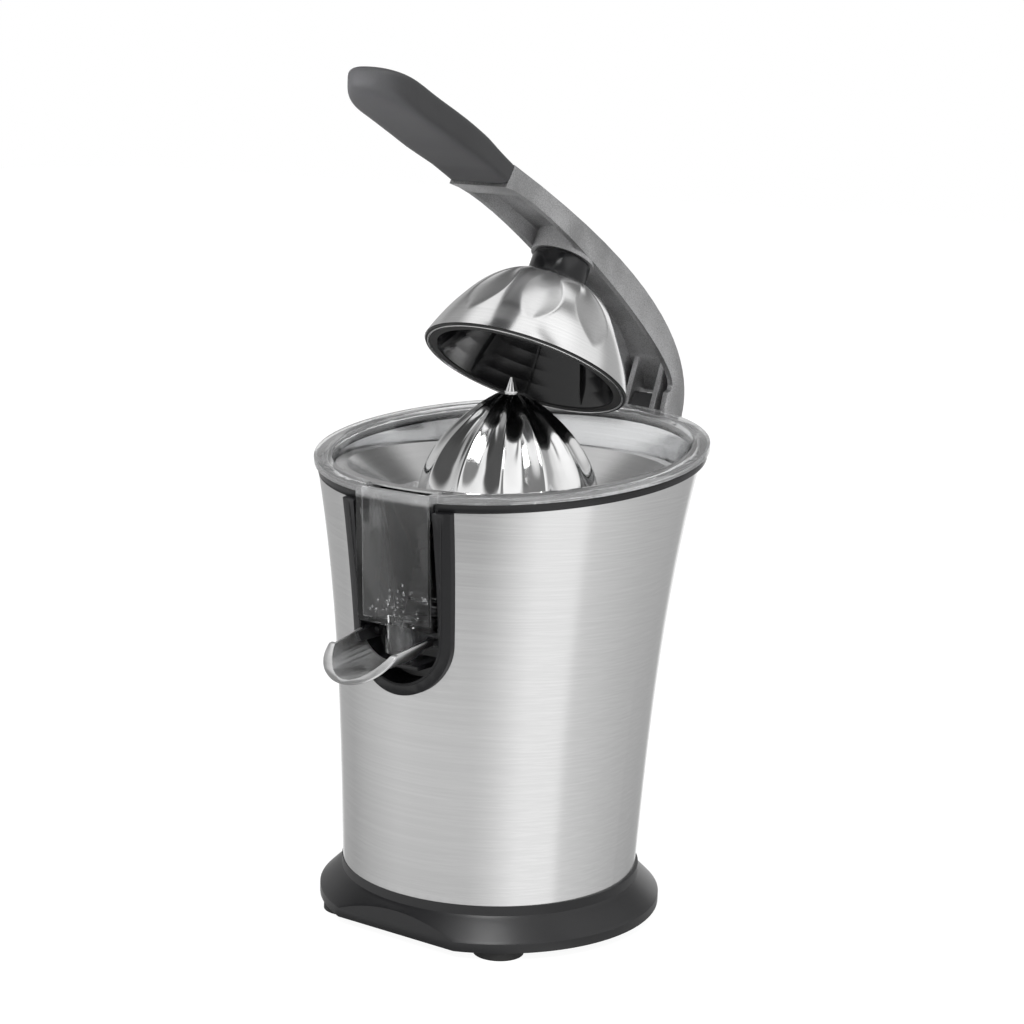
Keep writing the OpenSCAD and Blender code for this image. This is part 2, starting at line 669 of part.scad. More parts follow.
module reamer_tip() color("#d4d5d6") translate([0, 0, reamer_level + reamer_h]) {
    cylinder(r = tip_r, h = 1.2);
    translate([0, 0, 1.2]) cylinder(r1 = tip_r - 0.4, r2 = 0.9, h = tip_h - 1.2);
    translate([0, 0, -14]) cylinder(r = stud_r - 0.1, h = 14);
}
module reamer_hub() color("#2a2a2c") difference() {
    translate([0, 0, hub_z]) cylinder(r = hub_r, h = cavity_top - hub_z);
    translate([0, 0, hub_z - 1]) linear_extrude(26) d_shape(shaft_r, flat_x);
    translate([0, 0, cavity_top - 5]) cylinder(r = stud_r - 0.1, h = 6);
}

// Drive
module drive_shaft() color("#a9abad") {
    flat_low = fast_z + 3;
    flat_high = shaft_collar_z - 0.2;
    translate([0, 0, nose_z + nose_r]) sphere(r = nose_r);
    translate([0, 0, nose_z + nose_r]) cylinder(r = nose_r, h = 4);
    translate([0, 0, nose_z + 4]) cylinder(r = journal_r, h = flat_low - nose_z - 4);
    translate([0, 0, flat_low]) linear_extrude(flat_high - flat_low) d_shape(shaft_r, flat_x);
    translate([0, 0, flat_high]) cylinder(r = shaft_r, h = hub_z - flat_high);
    translate([0, 0, shaft_collar_z]) cylinder(r = shaft_r + 3, h = shaft_collar_t);
    translate([0, 0, hub_z]) linear_extrude(25) d_shape(shaft_r, flat_x);
}
module shaft_bush_upper() color("#b98b4e") {
    tube(8, shaft_r + running, deck_level - 1, deck_top);
    tube(10, shaft_r + running, deck_top, deck_top + 1.2);
}
module shaft_seal() color("#161616") tube(chimney_bore - fit, shaft_r + running, deck_top + 1.2, bowl_under - 0.2);
module shaft_bush_lower() color("#b98b4e") tube(6.5, journal_r + running, gear_plate_under - 1, gear_plate_top);
module gear_plate() color("#9a9c9e") difference() {
    union() {
        translate([0, 0, gear_plate_under]) cylinder(r = gear_plate_edge, h = gear_plate_t);
        block([-32, 5.2, nose_z - 20], [-10, 8.2, gear_plate_under + 1]);
    }
    translate([0, 0, gear_plate_under - 1]) cylinder(r = 6.5, h = far);
    for (p = tie_at) translate(p) cylinder(r = tie_r, h = far);
    translate(idler_at) cylinder(r = idler_pin_r, h = far);
    translate(motor_at) cylinder(r = 8, h = far);
    motor_post_places() cylinder(r = screw_r, h = far);
    motor_post_places() translate([0, 0, gear_plate_top - 2]) cylinder(r = screw_r + 1.5, h = 3);
    translate([switch_pivot[0], 0, switch_pivot[1]]) rotate([-90, 0, 0]) cylinder(r = 1.5 + running, h = 20);
}
module idler_pin() color("silver") translate([idler_at[0], idler_at[1], gear_plate_under])
    cylinder(r = idler_pin_r, h = deck_top - gear_plate_under);
module motor_post_places() for (a = [30:120:270])
    translate(motor_at + motor_post_ring * [cos(a), sin(a)]) children();
module motor_posts() color("silver") motor_post_places() tube(motor_post_r, screw_r, motor_top, gear_plate_under);
module motor_screws() color("silver") motor_post_places() {
    translate([0, 0, motor_top - 3]) cylinder(r = screw_r, h = gear_plate_top - motor_top + 2);
    translate([0, 0, gear_plate_top - 1.9]) cylinder(r = screw_r + 1.4, h = 1.8);
}
module motor_can() color("#6b6d70") translate(motor_at) difference() {
    translate([0, 0, motor_low]) cylinder(r = motor_r, h = motor_len);
    translate([0, 0, motor_low - 1]) cylinder(r = motor_r - 2, h = motor_len - 3);
    cylinder(r = motor_shaft_r + running, h = far);
    translate(-motor_at) motor_post_places() cylinder(r = screw_r, h = far);
}
module motor_end_cap() color("#4a4c4e") translate(motor_at)
    tube(motor_r - 2, motor_shaft_r + running, motor_low, motor_low + 4);
module motor_shaft() color("#a9abad") translate([motor_at[0], motor_at[1], motor_low - 12])
    cylinder(r = motor_shaft_r, h = fast_z + idler_w - motor_low + 12);
module motor_core() color("#8a5a34") translate(motor_at)
    tube(motor_r - 9, motor_shaft_r, motor_low + 10, motor_top - 10);
module motor_pinion() color("#a9abad") translate([motor_at[0], motor_at[1], fast_z])
    rotate(motor_turn + 180 + 180 / pinion_teeth) gear(pinion_teeth, fast_module, idler_w, motor_shaft_r);
module motor_fan() color("#2a2a2c") translate([motor_at[0], motor_at[1], motor_low - 11]) {
    ring(7, motor_shaft_r, 8);
    difference() {
        for (a = [0:45:315]) rotate(a) block([6, -1, 0], [motor_r - 5, 1, 8]);
        translate([0, 0, -1]) cylinder(r = 6.5, h = 10);
    }
}
// Involute gear teeth, with a little play between meshing flanks
play = 0.3;
function inv(a) = tan(a) - a * PI / 180;
function flank_angle(n, m, r) = let (base = n * m / 2 * cos(20), a = acos(min(1, base / r)))
    90 / n - play / (n * m) * 180 / PI + (inv(20) - inv(a)) * 180 / PI;
module gear(n, m, width, bore) linear_extrude(width) difference() {
    root = n * m / 2 - 1.25 * m;
    low = max(root, n * m / 2 * cos(20));
    tip = n * m / 2 + 0.9 * m;
    radii = [for (i = [0:4]) low + (tip - low) * i / 4];
    polygon([for (k = [0:n - 1]) let (mid = 360 * k / n) each concat(
        [root * [cos(mid - flank_angle(n, m, low)), sin(mid - flank_angle(n, m, low))]],
        [for (r = radii) r * [cos(mid - flank_angle(n, m, r)), sin(mid - flank_angle(n, m, r))]],
        [for (r = turned(radii)) r * [cos(mid + flank_angle(n, m, r)), sin(mid + flank_angle(n, m, r))]],
        [root * [cos(mid + flank_angle(n, m, low)), sin(mid + flank_angle(n, m, low))]])]);
    circle(r = bore);
}
module idler_gear() color("#e6e2d6") translate([idler_at[0], idler_at[1], 0]) difference() {
    union() {
        translate([0, 0, fast_z]) rotate(motor_turn) gear(idler_large_teeth, fast_module, idler_w, 1);
        translate([0, 0, fast_z + 1]) cylinder(r = idler_small_teeth * slow_module / 2 - 2, h = slow_z - fast_z);
        translate([0, 0, slow_z]) rotate(180 / idler_small_teeth)
            gear(idler_small_teeth, slow_module, output_w, 1);
    }
    translate([0, 0, fast_z - 1]) cylinder(r = idler_pin_r + running, h = far);
}
module output_gear() color("#e6e2d6") difference() {
    union() {
        translate([0, 0, slow_z]) gear(output_teeth, slow_module, output_w, 1);
        translate([0, 0, fast_z + 5]) cylinder(r = 9, h = hub_top - fast_z - 5);
    }
    translate([0, 0, fast_z]) linear_extrude(far) d_shape(shaft_r + running, flat_x + running);
}
// Return spring: a round wire wound between the gear and the shaft's collar
module return_spring() color("silver") {
    turns = 4;
    wire = 0.6;
    coil = shaft_r + 1.6;
    rings = 12 * turns;
    low = hub_top + wire + 0.2;
    rise = shaft_collar_z - wire - 0.2 - low;
    sides = 6;
    points = [for (i = [0:rings], k = [0:sides - 1]) let (a = 360 * turns * i / rings, b = 360 * k / sides)
        [(coil + wire * cos(b)) * cos(a), (coil + wire * cos(b)) * sin(a), low + rise * i / rings + wire * sin(b)]];
    walls = [for (i = [0:rings - 1], k = [0:sides - 1]) let (a = i * sides + k, b = i * sides + (k + 1) % sides)
        each [[a, b, b + sides], [a, b + sides, a + sides]]];
    start = [for (k = [1:sides - 2]) [0, k + 1, k]];
    end = [for (k = [1:sides - 2]) let (z = rings * sides) [z, z + k, z + k + 1]];
    polyhedron(points, concat(walls, start, end));
}
module switch_lever() color("#b98b4e") translate([switch_pivot[0], 0, switch_pivot[1]]) {
    rotate([-90, 0, 0]) translate([0, 0, -4]) cylinder(r = 1.5, h = 12);
    block([-2, -3, 0.5], [22, 3, 3.6]);
}
module microswitch() color("#1d1d1f") {
    block([-30, -5, nose_z - 18], [-6, 5.2, nose_z - 8]);
    translate([-9, 0, nose_z - 9]) cylinder(r = 1.2, h = 3);
}

// Spout: a cone that falls to its mouth, cut by the slanting mouth and by its upper edges
module spout_cone(grow) translate([0, spout_pivot[0] + spout_rear, spout_pivot[1] + 7.5]) rotate([90 + spout_fall, 0, 0])
    translate([0, 0, -10]) cylinder(r1 = spout_r + grow + spout_narrow * 10 / spout_reach,
        r2 = spout_r + grow - spout_narrow * 40 / spout_reach, h = 50);
module spout() color("#c4c5c6") {
    low = mouth_top + 24 * mouth_way;
    difference() {
        intersection() {
            union() {
                spout_cone(0);
                translate([0, spout_pivot[0] + mouth_top[0], spout_pivot[1] + mouth_top[1]]) rotate([90 - mouth_slant, 0, 0])
                    translate([0, 0, -spout_wall]) cylinder(r = lip_r, h = 3 * spout_wall);
            }
            side(far) translate(spout_pivot) polygon([[spout_rear + 1, 0.3], [spout_rear - 2, 0.1], [spout_rear - 15, -1.6],
                mouth_top, low, low - [0, 9], [spout_rear - 1.3, -25]]);
        }
        spout_cone(-spout_wall);
    }
}
module spout_pins() color("#1b1b1c") {
    intersection() {
        difference() {
            spout_cone(-spout_wall);
            spout_cone(-spout_wall - strip_t);
        }
        side(far) translate(spout_pivot) polygon([[2.8, -4], [2.8, 0], [0, 0.6], [spout_rear - 5, -0.6], [spout_rear - 5, -4]]);
    }
    for (s = [-1, 1]) translate([s * (frame_inner + spout_r - 5) / 2, pin_at[0], pin_at[1]])
        across_x(spout_pin_r, frame_inner - spout_r + 9);
}

// Lever
module arm_outline() union() {
    polygon(concat(bez_run(arm_top, 0, 1), turned(bez_run(arm_low, 0, 1))));
    circle(r = arm_end_r);
    polygon([arm_top[0], [arm_end_r, 0], [-arm_end_r, 0], [-0.5, 19.5], arm_low[0]]);
}
module arm_channel() union() {
    polygon(concat(bez_run(arm_top, 0, 0.97, arm_web), turned(bez_run(arm_low, 0, 0.95, 12))));
    translate([-far, -far]) square([far + arm_top[0][0] - arm_web, far + arm_low[0][1] + 4]);
}
module lug_outline() union() {
    circle(r = arm_end_r - 3);
    polygon(concat(bez_run(arm_top, 0, 0.36, 0, 6), [[9.5, 45], [-1, 20.5], [3 - arm_end_r, 0], [arm_end_r - 3, 0]]));
}
module lever_arm() color("#a4a6a8") difference() {
    union() {
        difference() {
            at_pivot() side(arm_w) arm_outline();
            at_pivot() side(arm_w - 2 * arm_wall) arm_channel();
        }
        for (s = [-1, 1]) translate([s * (lug_gap + lug_t / 2), 0, 0]) at_pivot() side(lug_t) lug_outline();
        intersection() {
            at_dome() translate([0, 0, boss_z]) cylinder(r = boss_r, h = far);
            union() {
                at_pivot() side(arm_w) polygon(concat(bez_run(arm_top, 0.5, 1, 0.1), [[-160, 40], [0, 40]]));
            }
        }
        at_pivot() side(18) polygon(tang);
    }
    at_pivot() across_x(pin_r, far);
    at_pivot() across_x(slot_r, 2 * lug_gap);
    at_dome() translate([0, 0, boss_z - 1]) cylinder(r = bolt_r, h = boss_h);
}
module grip_plan() union() {
    translate([hinge_y + grip_end, 0]) circle(r = grip_w / 2);
    translate([hinge_y + grip_end, -grip_w / 2]) square([far, grip_w]);
}
module grip() color("#4b4c4e") difference() {
    intersection() {
        at_pivot() side(grip_w) polygon(grip_side);
        linear_extrude(2 * far) rotate(90) mirror([0, 1]) grip_plan();
    }
    at_pivot() side(18) polygon(tang);
    at_pivot() side(far) arm_outline();
}
module hinge_pin() color("silver") at_pivot() across_x(pin_r, arm_w + 3);
module dome_bolt() color("silver") at_dome() {
    under = dome_top_z - liner_t - dome_wall - 2 * fit;
    translate([0, 0, under - 2.6]) cylinder(r = bolt_r + 3, h = 2.6);
    translate([0, 0, under - 1]) cylinder(r = bolt_r, h = boss_z + boss_h - 1 - under);
}

// Press dome
function dome_at(z) = dome_r * pow(max(0, 1 - pow(z / dome_h, 1.06)), 1 / 2.82);
function hollow_at(z, a) = let (mid = 0.42 * dome_h, reach = 0.36 * dome_h, u = (z - mid) / reach,
        half = 180 / hollow_count * 0.86 * sqrt(max(0, 1 - u * u)), step = 360 / hollow_count,
        off = abs((a % step + step) % step - step / 2))
    off < half ? hollow_d * (1 - pow(off / half, 2)) * (1 - u * u) : 0;
function dome_ring(z, points) = [for (j = [0:points - 1]) let (a = 360 * j / points, r = dome_at(z) - hollow_at(z, a))
    [r * cos(a), r * sin(a), z]];
// Outline inside the dome, a wall in from its curve and a given depth under its top
function dome_inside(wall, depth, low) = [for (i = [0:inside_levels])
    let (z = low + (dome_top_z - depth - low) * sin(90 * i / inside_levels))
    [dome_at(min(z + depth, dome_top_z)) - wall, z]];
module press_dome() color("#c9cacb") at_dome() {
    points = 8 * hollow_count;
    levels = 12;
    ring_skin(concat([for (i = [0:levels]) dome_ring(dome_top_z * sin(90 * i / levels), points)],
        [plain_ring(bolt_r + 0.2, dome_top_z, points), plain_ring(bolt_r + 0.2, dome_top_z - dome_wall, points)],
        [for (p = turned(dome_inside(dome_wall + hollow_d, dome_wall, 0))) plain_ring(p[0], p[1], points)]));
}
module dome_liner() color("#161617") at_dome() difference() {
    outer = dome_inside(dome_wall + hollow_d, dome_wall, 0);
    inner = dome_inside(dome_wall + hollow_d + liner_t, dome_wall + liner_t, 0);
    rotate_extrude() polygon(concat([[0, 0]], [for (p = outer) [p[0] - seat_gap, max(0, p[1] - seat_gap)]],
        [[0, dome_top_z - dome_wall - seat_gap]]));
    rotate_extrude() polygon(concat([[0, -1], [inner[0][0], -1]], inner, [[0, dome_top_z - dome_wall - liner_t]]));
    cylinder(r = bolt_r + 0.2, h = far);
}
module dome_seal() color("#111112") at_dome() translate([0, 0, -seal_h])
    ring(dome_r - 0.6, dome_r - dome_wall - hollow_d - liner_t - 1, seal_h);
module dome_collar() color("#121213") at_dome() translate([0, 0, collar_z]) difference() {
    intersection() {
        cylinder(r = collar_r, h = collar_h);
        cylinder(r = collar_r + 0.35, h = far, $fn = 12, center = true);
    }
    translate([0, 0, -1]) cylinder(r = bolt_r + running, h = far);
}

base_skirt();
base_plate();
for (i = [1:4]) foot(i);
base_screws();
cord_gland();
tie_bolts();
terminal_block();
steel_shell();
trim_ring();
spout_frame();
inner_housing();
hinge_block();
hinge_backplate();
hinge_screws();
hinge_bush();
juice_bowl();
sieve();
gear_plate();
shaft_bush_upper();
shaft_bush_lower();
shaft_seal();
idler_pin();
motor_can();
motor_end_cap();
motor_posts();
motor_screws();
microswitch();
motor_shaft();
motor_core();
motor_pinion();
motor_fan();
idler_gear();
output_gear();
drive_shaft();
reamer_hub();
reamer_cone();
reamer_tip();
return_spring();
switch_lever();
spout();
spout_pins();
lever_arm();
grip();
hinge_pin();
dome_bolt();
press_dome();
dome_liner();
dome_seal();
dome_collar();
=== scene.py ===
# %% [markdown]
# # An electric citrus press
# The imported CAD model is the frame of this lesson. Its solids already have the right
# shapes and places, so Blender adds what a solid lacks: rounded edges, polished flutes,
# brushed and moulded finishes, drops of juice, a camera and studio light.

# %% Load the frame
import json
import math
import bmesh
import bpy
from mathutils import Matrix, Vector
from mathutils.bvhtree import BVHTree


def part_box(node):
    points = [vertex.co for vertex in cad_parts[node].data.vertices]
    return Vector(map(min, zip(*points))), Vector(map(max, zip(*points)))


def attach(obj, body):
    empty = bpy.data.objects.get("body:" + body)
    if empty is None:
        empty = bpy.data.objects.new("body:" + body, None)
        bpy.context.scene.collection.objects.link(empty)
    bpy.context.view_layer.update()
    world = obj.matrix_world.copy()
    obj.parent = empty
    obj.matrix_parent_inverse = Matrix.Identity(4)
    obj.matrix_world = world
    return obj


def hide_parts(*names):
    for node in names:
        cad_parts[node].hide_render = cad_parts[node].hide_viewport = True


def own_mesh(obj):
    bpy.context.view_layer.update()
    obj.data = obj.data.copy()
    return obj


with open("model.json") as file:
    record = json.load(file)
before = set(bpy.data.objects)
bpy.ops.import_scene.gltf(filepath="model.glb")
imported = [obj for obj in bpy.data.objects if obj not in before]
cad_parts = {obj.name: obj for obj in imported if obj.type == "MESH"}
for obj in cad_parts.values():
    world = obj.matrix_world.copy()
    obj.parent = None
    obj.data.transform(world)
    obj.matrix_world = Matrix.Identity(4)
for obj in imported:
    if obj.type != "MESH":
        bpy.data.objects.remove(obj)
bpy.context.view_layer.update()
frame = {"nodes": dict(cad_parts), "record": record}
nodes = frame["nodes"]
slot_of = {row["node"]: row["material_slot"] for row in frame["record"]["subparts"]}
body_of = {n: b for b, members in frame["record"]["behaviour"]["bodies"].items() for n in members}
MM = 0.001
scene = bpy.context.scene
scene.view_settings.view_transform = "Standard"

# %% [markdown]
# ## Camera
# The viewing angle was found by matching the base, the rim and the drive axis with the
# photograph. A camera could be aimed with a constraint, but writing its matrix keeps the
# small roll of the picture: right, up and back are the three axes of the camera.

# %% Camera
TURN, LIFT, ROLL = math.radians(34.481), math.radians(10.82), math.radians(1.945)
EYE = Vector((582.97, -845.18, 384.33)) * MM
back = Vector((math.sin(TURN) * math.cos(LIFT), -math.cos(TURN) * math.cos(LIFT), math.sin(LIFT)))
right = Vector((math.cos(TURN), math.sin(TURN), 0))
up = back.cross(right)
camera_data = bpy.data.cameras.new("camera")
camera_data.sensor_width = 36
camera_data.lens = 78.61
camera_data.clip_end = 20
camera = bpy.data.objects.new("camera", camera_data)
scene.collection.objects.link(camera)
turned = Matrix((right, up, back)).transposed().to_4x4() @ Matrix.Rotation(ROLL, 4, "Z")
camera.matrix_world = Matrix.Translation(EYE) @ turned
scene.camera = camera
print("camera at", [round(v, 3) for v in EYE], "lens", camera_data.lens)

# %% [markdown]
# ## Node helpers
# A material is a small graph. These helpers add a node, set its sockets and join it to the
# others, so each finish below reads as a recipe rather than as plumbing.


# %% Node helpers
def add(tree, kind, values=None, **settings):
    """One node of that kind, with its settings and the values or links of its inputs."""
    node = tree.nodes.new(kind)
    for key, value in settings.items():
        setattr(node, key, value)
    for key, value in (values or {}).items():
        if isinstance(value, bpy.types.NodeSocket):
            tree.links.new(value, node.inputs[key])
        else:
            node.inputs[key].default_value = value
    return node


def math_of(tree, operation, *values):
    """The result of one Math node; values are numbers or sockets."""
    return add(tree, "ShaderNodeMath", dict(enumerate(values)), operation=operation).outputs["Value"]


def ramp(tree, source, stops, smooth=True):
    """A colour ramp over source; stops are (place, grey value or colour)."""
    node = add(tree, "ShaderNodeValToRGB", {"Fac": source})
    node.color_ramp.interpolation = "EASE" if smooth else "LINEAR"
    elements = node.color_ramp.elements
    while len(elements) > 1:
        elements.remove(elements[-1])
    for i, (place, value) in enumerate(stops):
        element = elements[0] if i == 0 else elements.new(place)
        element.position = place
        grey = value if isinstance(value, tuple) else (value, value, value)
        element.color = (*grey, 1)
    return node.outputs["Color"]


def spread(tree, source, low, high):
    """Maps a value of 0 to 1 to low to high."""
    return add(tree, "ShaderNodeMapRange", {"Value": source, "To Min": low, "To Max": high}).outputs["Result"]


def noise(tree, place, size, detail=2.0, stretch=(1, 1, 1), rough=0.5):
    """Noise with grains of about that size in metres; stretch squeezes it along an axis."""
    mapping = add(tree, "ShaderNodeMapping", {"Vector": place, "Scale": stretch})
    return add(tree, "ShaderNodeTexNoise", {"Vector": mapping.outputs["Vector"], "Scale": 1 / size,
                                            "Detail": detail, "Roughness": rough}).outputs["Fac"]


def new_material(name):
    """An empty material: its tree, its shader and the Object coordinates of the piece."""
    material = bpy.data.materials.new(name)
    material.use_nodes = True
    tree = material.node_tree
    tree.nodes.clear()
    shader = add(tree, "ShaderNodeBsdfPrincipled")
    output = add(tree, "ShaderNodeOutputMaterial")
    tree.links.new(shader.outputs["BSDF"], output.inputs["Surface"])
    place = add(tree, "ShaderNodeTexCoord").outputs["Object"]
    return material, tree, shader, place


def join(tree, shader, name, source):
    """Links a source to one input of the shader."""
    tree.links.new(source, shader.inputs[name])


def fix(shader, **values):
    """Sets inputs of the shader to constants; an underscore stands for a space."""
    for name, value in values.items():
        shader.inputs[name.replace("_", " ")].default_value = value


def bump(tree, shader, height, depth):
    """Small relief of that depth in metres."""
    node = add(tree, "ShaderNodeBump", {"Height": height, "Strength": 1.0, "Distance": depth})
    join(tree, shader, "Normal", node.outputs["Normal"])


def seen_plainly(tree):
    """1 for rays from the camera or through clear plastic, 0 for all others."""
    light = add(tree, "ShaderNodeLightPath")
    return math_of(tree, "MAXIMUM", light.outputs["Is Camera Ray"], light.outputs["Is Transmission Ray"])


print("node helpers ready")

# %% [markdown]
# ## Steel
# The body, dome and spout are sheet steel brushed round the axis. Brushing could be a picture,
# but noise that hardly changes round an axis and changes fast along it gives endless fine lines.
# The lines change roughness and relief, hardly the colour. The raised dome has an axis of its
# own, so its finish first turns the place of each point back until that axis is upright.


# %% Steel finishes
RAISED = math.radians(29.4)
HINGE = Vector((0, 113.5, 206)) * MM
DOME_FOOT = Vector((0, 0, 197.7)) * MM
PER_ANGLE = 0.0003
tilt = Matrix.Translation(HINGE) @ Matrix.Rotation(-RAISED, 4, "X") @ Matrix.Translation(DOME_FOOT - HINGE)


def brushed_steel(name, tone, rough, line=0.0003, relief=0.00000015, level=None, stretch=0.6):
    """Steel brushed round the Z axis, or round the axis that the matrix level brings upright."""
    material, tree, shader, place = new_material(name)
    if level:
        place = add(tree, "ShaderNodeMapping", {"Vector": place, "Location": level.to_translation(),
                                                "Rotation": level.to_euler()}).outputs["Vector"]
    axes = add(tree, "ShaderNodeSeparateXYZ", {"Vector": place})
    flat = add(tree, "ShaderNodeCombineXYZ", {"X": axes.outputs["X"], "Y": axes.outputs["Y"]})
    radius = add(tree, "ShaderNodeVectorMath", {0: flat.outputs["Vector"]}, operation="LENGTH").outputs["Value"]
    angle = math_of(tree, "ARCTAN2", axes.outputs["Y"], axes.outputs["X"])
    along = math_of(tree, "MULTIPLY", angle, PER_ANGLE)
    place = add(tree, "ShaderNodeCombineXYZ", {"X": radius, "Y": along, "Z": axes.outputs["Z"]}).outputs["Vector"]
    fine = noise(tree, place, line, 3, rough=0.6)
    broad = noise(tree, place, line * 3, 2)
    cloud = noise(tree, place, 0.06, 2)
    both = math_of(tree, "MULTIPLY", fine, broad)
    join(tree, shader, "Base Color", ramp(tree, both, [(0.1, tone * 0.95), (0.45, tone * 1.02)]))
    streaks = spread(tree, fine, rough - 0.03, rough + 0.03)
    worn = spread(tree, cloud, -0.02, 0.02)
    join(tree, shader, "Roughness", math_of(tree, "ADD", streaks, worn))
    fix(shader, Metallic=1.0, Anisotropic=stretch, Anisotropic_Rotation=0.25)
    bump(tree, shader, both, relief)
    return material


def polished_steel(name, tone, rough):
    """Mirror-like steel with a faint haze and hair lines."""
    material, tree, shader, place = new_material(name)
    haze = noise(tree, place, 0.012, 3)
    hair = noise(tree, place, 0.0007, 2, (1, 1, 0.1))
    join(tree, shader, "Base Color", ramp(tree, haze, [(0.3, tone * 0.95), (0.7, tone)]))
    join(tree, shader, "Roughness", spread(tree, haze, rough - 0.03, rough + 0.04))
    fix(shader, Metallic=1.0)
    bump(tree, shader, hair, 0.000002)
    return material


finish = {
    "brushed_steel": brushed_steel("brushed_steel", 0.8, 0.2),
    "dome_steel": brushed_steel("dome_steel", 0.84, 0.17, level=tilt.inverted(), stretch=0.0),
    "spout_steel": brushed_steel("spout_steel", 0.85, 0.34),
    # the sieve is the body's steel with a darker tone (0.6 against 0.8): painted shade for the dim reflections
    # inside the bowl
    "sieve_steel": brushed_steel("sieve_steel", 0.6, 0.24, line=0.0005),
    "polished_steel": polished_steel("polished_steel", 0.78, 0.1),
}
print("steel finishes:", len(finish))

# %% [markdown]
# ## Plastic, rubber and cast metal
# Moulded plastic has a fine grain and slightly uneven gloss. One recipe covers all of them:
# a grain that gives relief, a cloud that moves the gloss, and a tone that varies a little.
# Rubber is the same with less gloss and some sheen, cast metal the same with metal flakes.


# %% Moulded, rubber and cast finishes
def moulded(name, colour, rough, grain=0.0005, relief=0.00002, metal=0.0, sheen=0.0, vary=0.12):
    """Fine grain, uneven gloss and a tone that varies by the share vary."""
    material, tree, shader, place = new_material(name)
    fine = noise(tree, place, grain, 2)
    cloud = noise(tree, place, 0.03, 3)
    dark = tuple(c * (1 - vary) for c in colour)
    light = tuple(min(1, c * (1 + vary)) for c in colour)
    both = math_of(tree, "MULTIPLY", fine, cloud)
    join(tree, shader, "Base Color", ramp(tree, both, [(0.1, dark), (0.4, light)]))
    join(tree, shader, "Roughness", spread(tree, cloud, rough - 0.05, rough + 0.05))
    fix(shader, Metallic=metal, Sheen_Weight=sheen)
    bump(tree, shader, fine, relief)
    return material


finish |= {
    "black_base": moulded("black_base", (0.009, 0.009, 0.01), 0.31),
    "black_trim": moulded("black_trim", (0.008, 0.008, 0.009), 0.24, relief=0.000006),
    "housing_plastic": moulded("housing_plastic", (0.01, 0.01, 0.011), 0.45),
    "liner_plastic": moulded("liner_plastic", (0.008, 0.008, 0.009), 0.16, relief=0.000004),
    "black_rubber": moulded("black_rubber", (0.012, 0.012, 0.012), 0.7, sheen=0.1),
    "grip_rubber": moulded("grip_rubber", (0.036, 0.036, 0.038), 0.55, grain=0.0004, relief=0.00003,
                           sheen=0.03),
    "cast_arm": moulded("cast_arm", (0.5, 0.5, 0.505), 0.4, grain=0.0006, relief=0.00012, metal=0.9,
                        vary=0.3),
    "cast_dark": moulded("cast_dark", (0.05, 0.05, 0.052), 0.45, grain=0.0004, relief=0.00004, metal=0.4),
    "fasteners": moulded("fasteners", (0.5, 0.5, 0.5), 0.35, metal=1.0, relief=0.000006),
    "shaft_steel": moulded("shaft_steel", (0.55, 0.55, 0.56), 0.22, metal=1.0, relief=0.000004),
    "gear_plastic": moulded("gear_plastic", (0.78, 0.75, 0.66), 0.42),
    "plate_metal": moulded("plate_metal", (0.48, 0.49, 0.5), 0.5, metal=1.0, relief=0.00003),
    "motor_metal": moulded("motor_metal", (0.3, 0.31, 0.32), 0.4, metal=1.0, relief=0.000008),
    "rotor_metal": moulded("rotor_metal", (0.42, 0.22, 0.1), 0.45, metal=1.0, relief=0.00002),
    "bush_bronze": moulded("bush_bronze", (0.5, 0.33, 0.13), 0.4, metal=1.0, relief=0.00001),
    "switch_plastic": moulded("switch_plastic", (0.04, 0.04, 0.04), 0.5),
    "terminal_plastic": moulded("terminal_plastic", (0.75, 0.72, 0.64), 0.5),
}
print("finishes so far:", len(finish))

# %% [markdown]
# ## Clear plastic
# The bowl is one clear moulding: rim, window, sump and outlet. A mix of see-through and gloss
# would be quicker, but true transmission bends the light in the thick rim, which is what draws
# its bright and dark lines. A faint haze keeps it from looking like empty air, and the thick rim
# is a little milky, which a height along the sloping rim switches on.


# %% Clear plastic and juice
RIM_SLOPE, RIM_FROM, RIM_TO = 0.1175, 0.2145, 0.2165


def clear_plastic(name, colour, rough, index, edge=1.0):
    """Clear plastic; edge is its transmission in the rim, above the sloping level RIM_TO."""
    material, tree, shader, place = new_material(name)
    haze = noise(tree, place, 0.02, 3)
    wave = noise(tree, place, 0.008, 2)
    tint = tuple(c * 0.97 for c in colour)
    join(tree, shader, "Base Color", ramp(tree, haze, [(0.3, tint), (0.7, colour)]))
    join(tree, shader, "Roughness", spread(tree, haze, rough * 0.5, rough * 1.5))
    axes = add(tree, "ShaderNodeSeparateXYZ", {"Vector": place})
    level = math_of(tree, "MULTIPLY_ADD", axes.outputs["Y"], -RIM_SLOPE, axes.outputs["Z"])
    clear = add(tree, "ShaderNodeMapRange", {"Value": level, "From Min": RIM_FROM, "From Max": RIM_TO,
                                             "To Min": 1.0, "To Max": edge}).outputs["Result"]
    join(tree, shader, "Transmission Weight", clear)
    fix(shader, IOR=index, Coat_Weight=0.5, Coat_Roughness=0.02)
    bump(tree, shader, wave, 0.00001)
    return material


finish["clear_plastic"] = clear_plastic("clear_plastic", (0.97, 0.975, 0.98), 0.03, 1.3, edge=0.8)
finish["juice_drops"] = clear_plastic("juice_drops", (0.97, 0.97, 0.97), 0.01, 1.33)
print("finishes:", len(finish))

# %% [markdown]
# ## Dress the CAD nodes
# Every solid of the frame takes the finish of its own slot. Shapes that are right stay as they
# are, so this one loop finishes most of the press, inside and out.

# %% Dress the CAD nodes
for name, node in nodes.items():
    node.data.materials.clear()
    node.data.materials.append(finish[slot_of[name]])
print("dressed", len(nodes), "nodes")
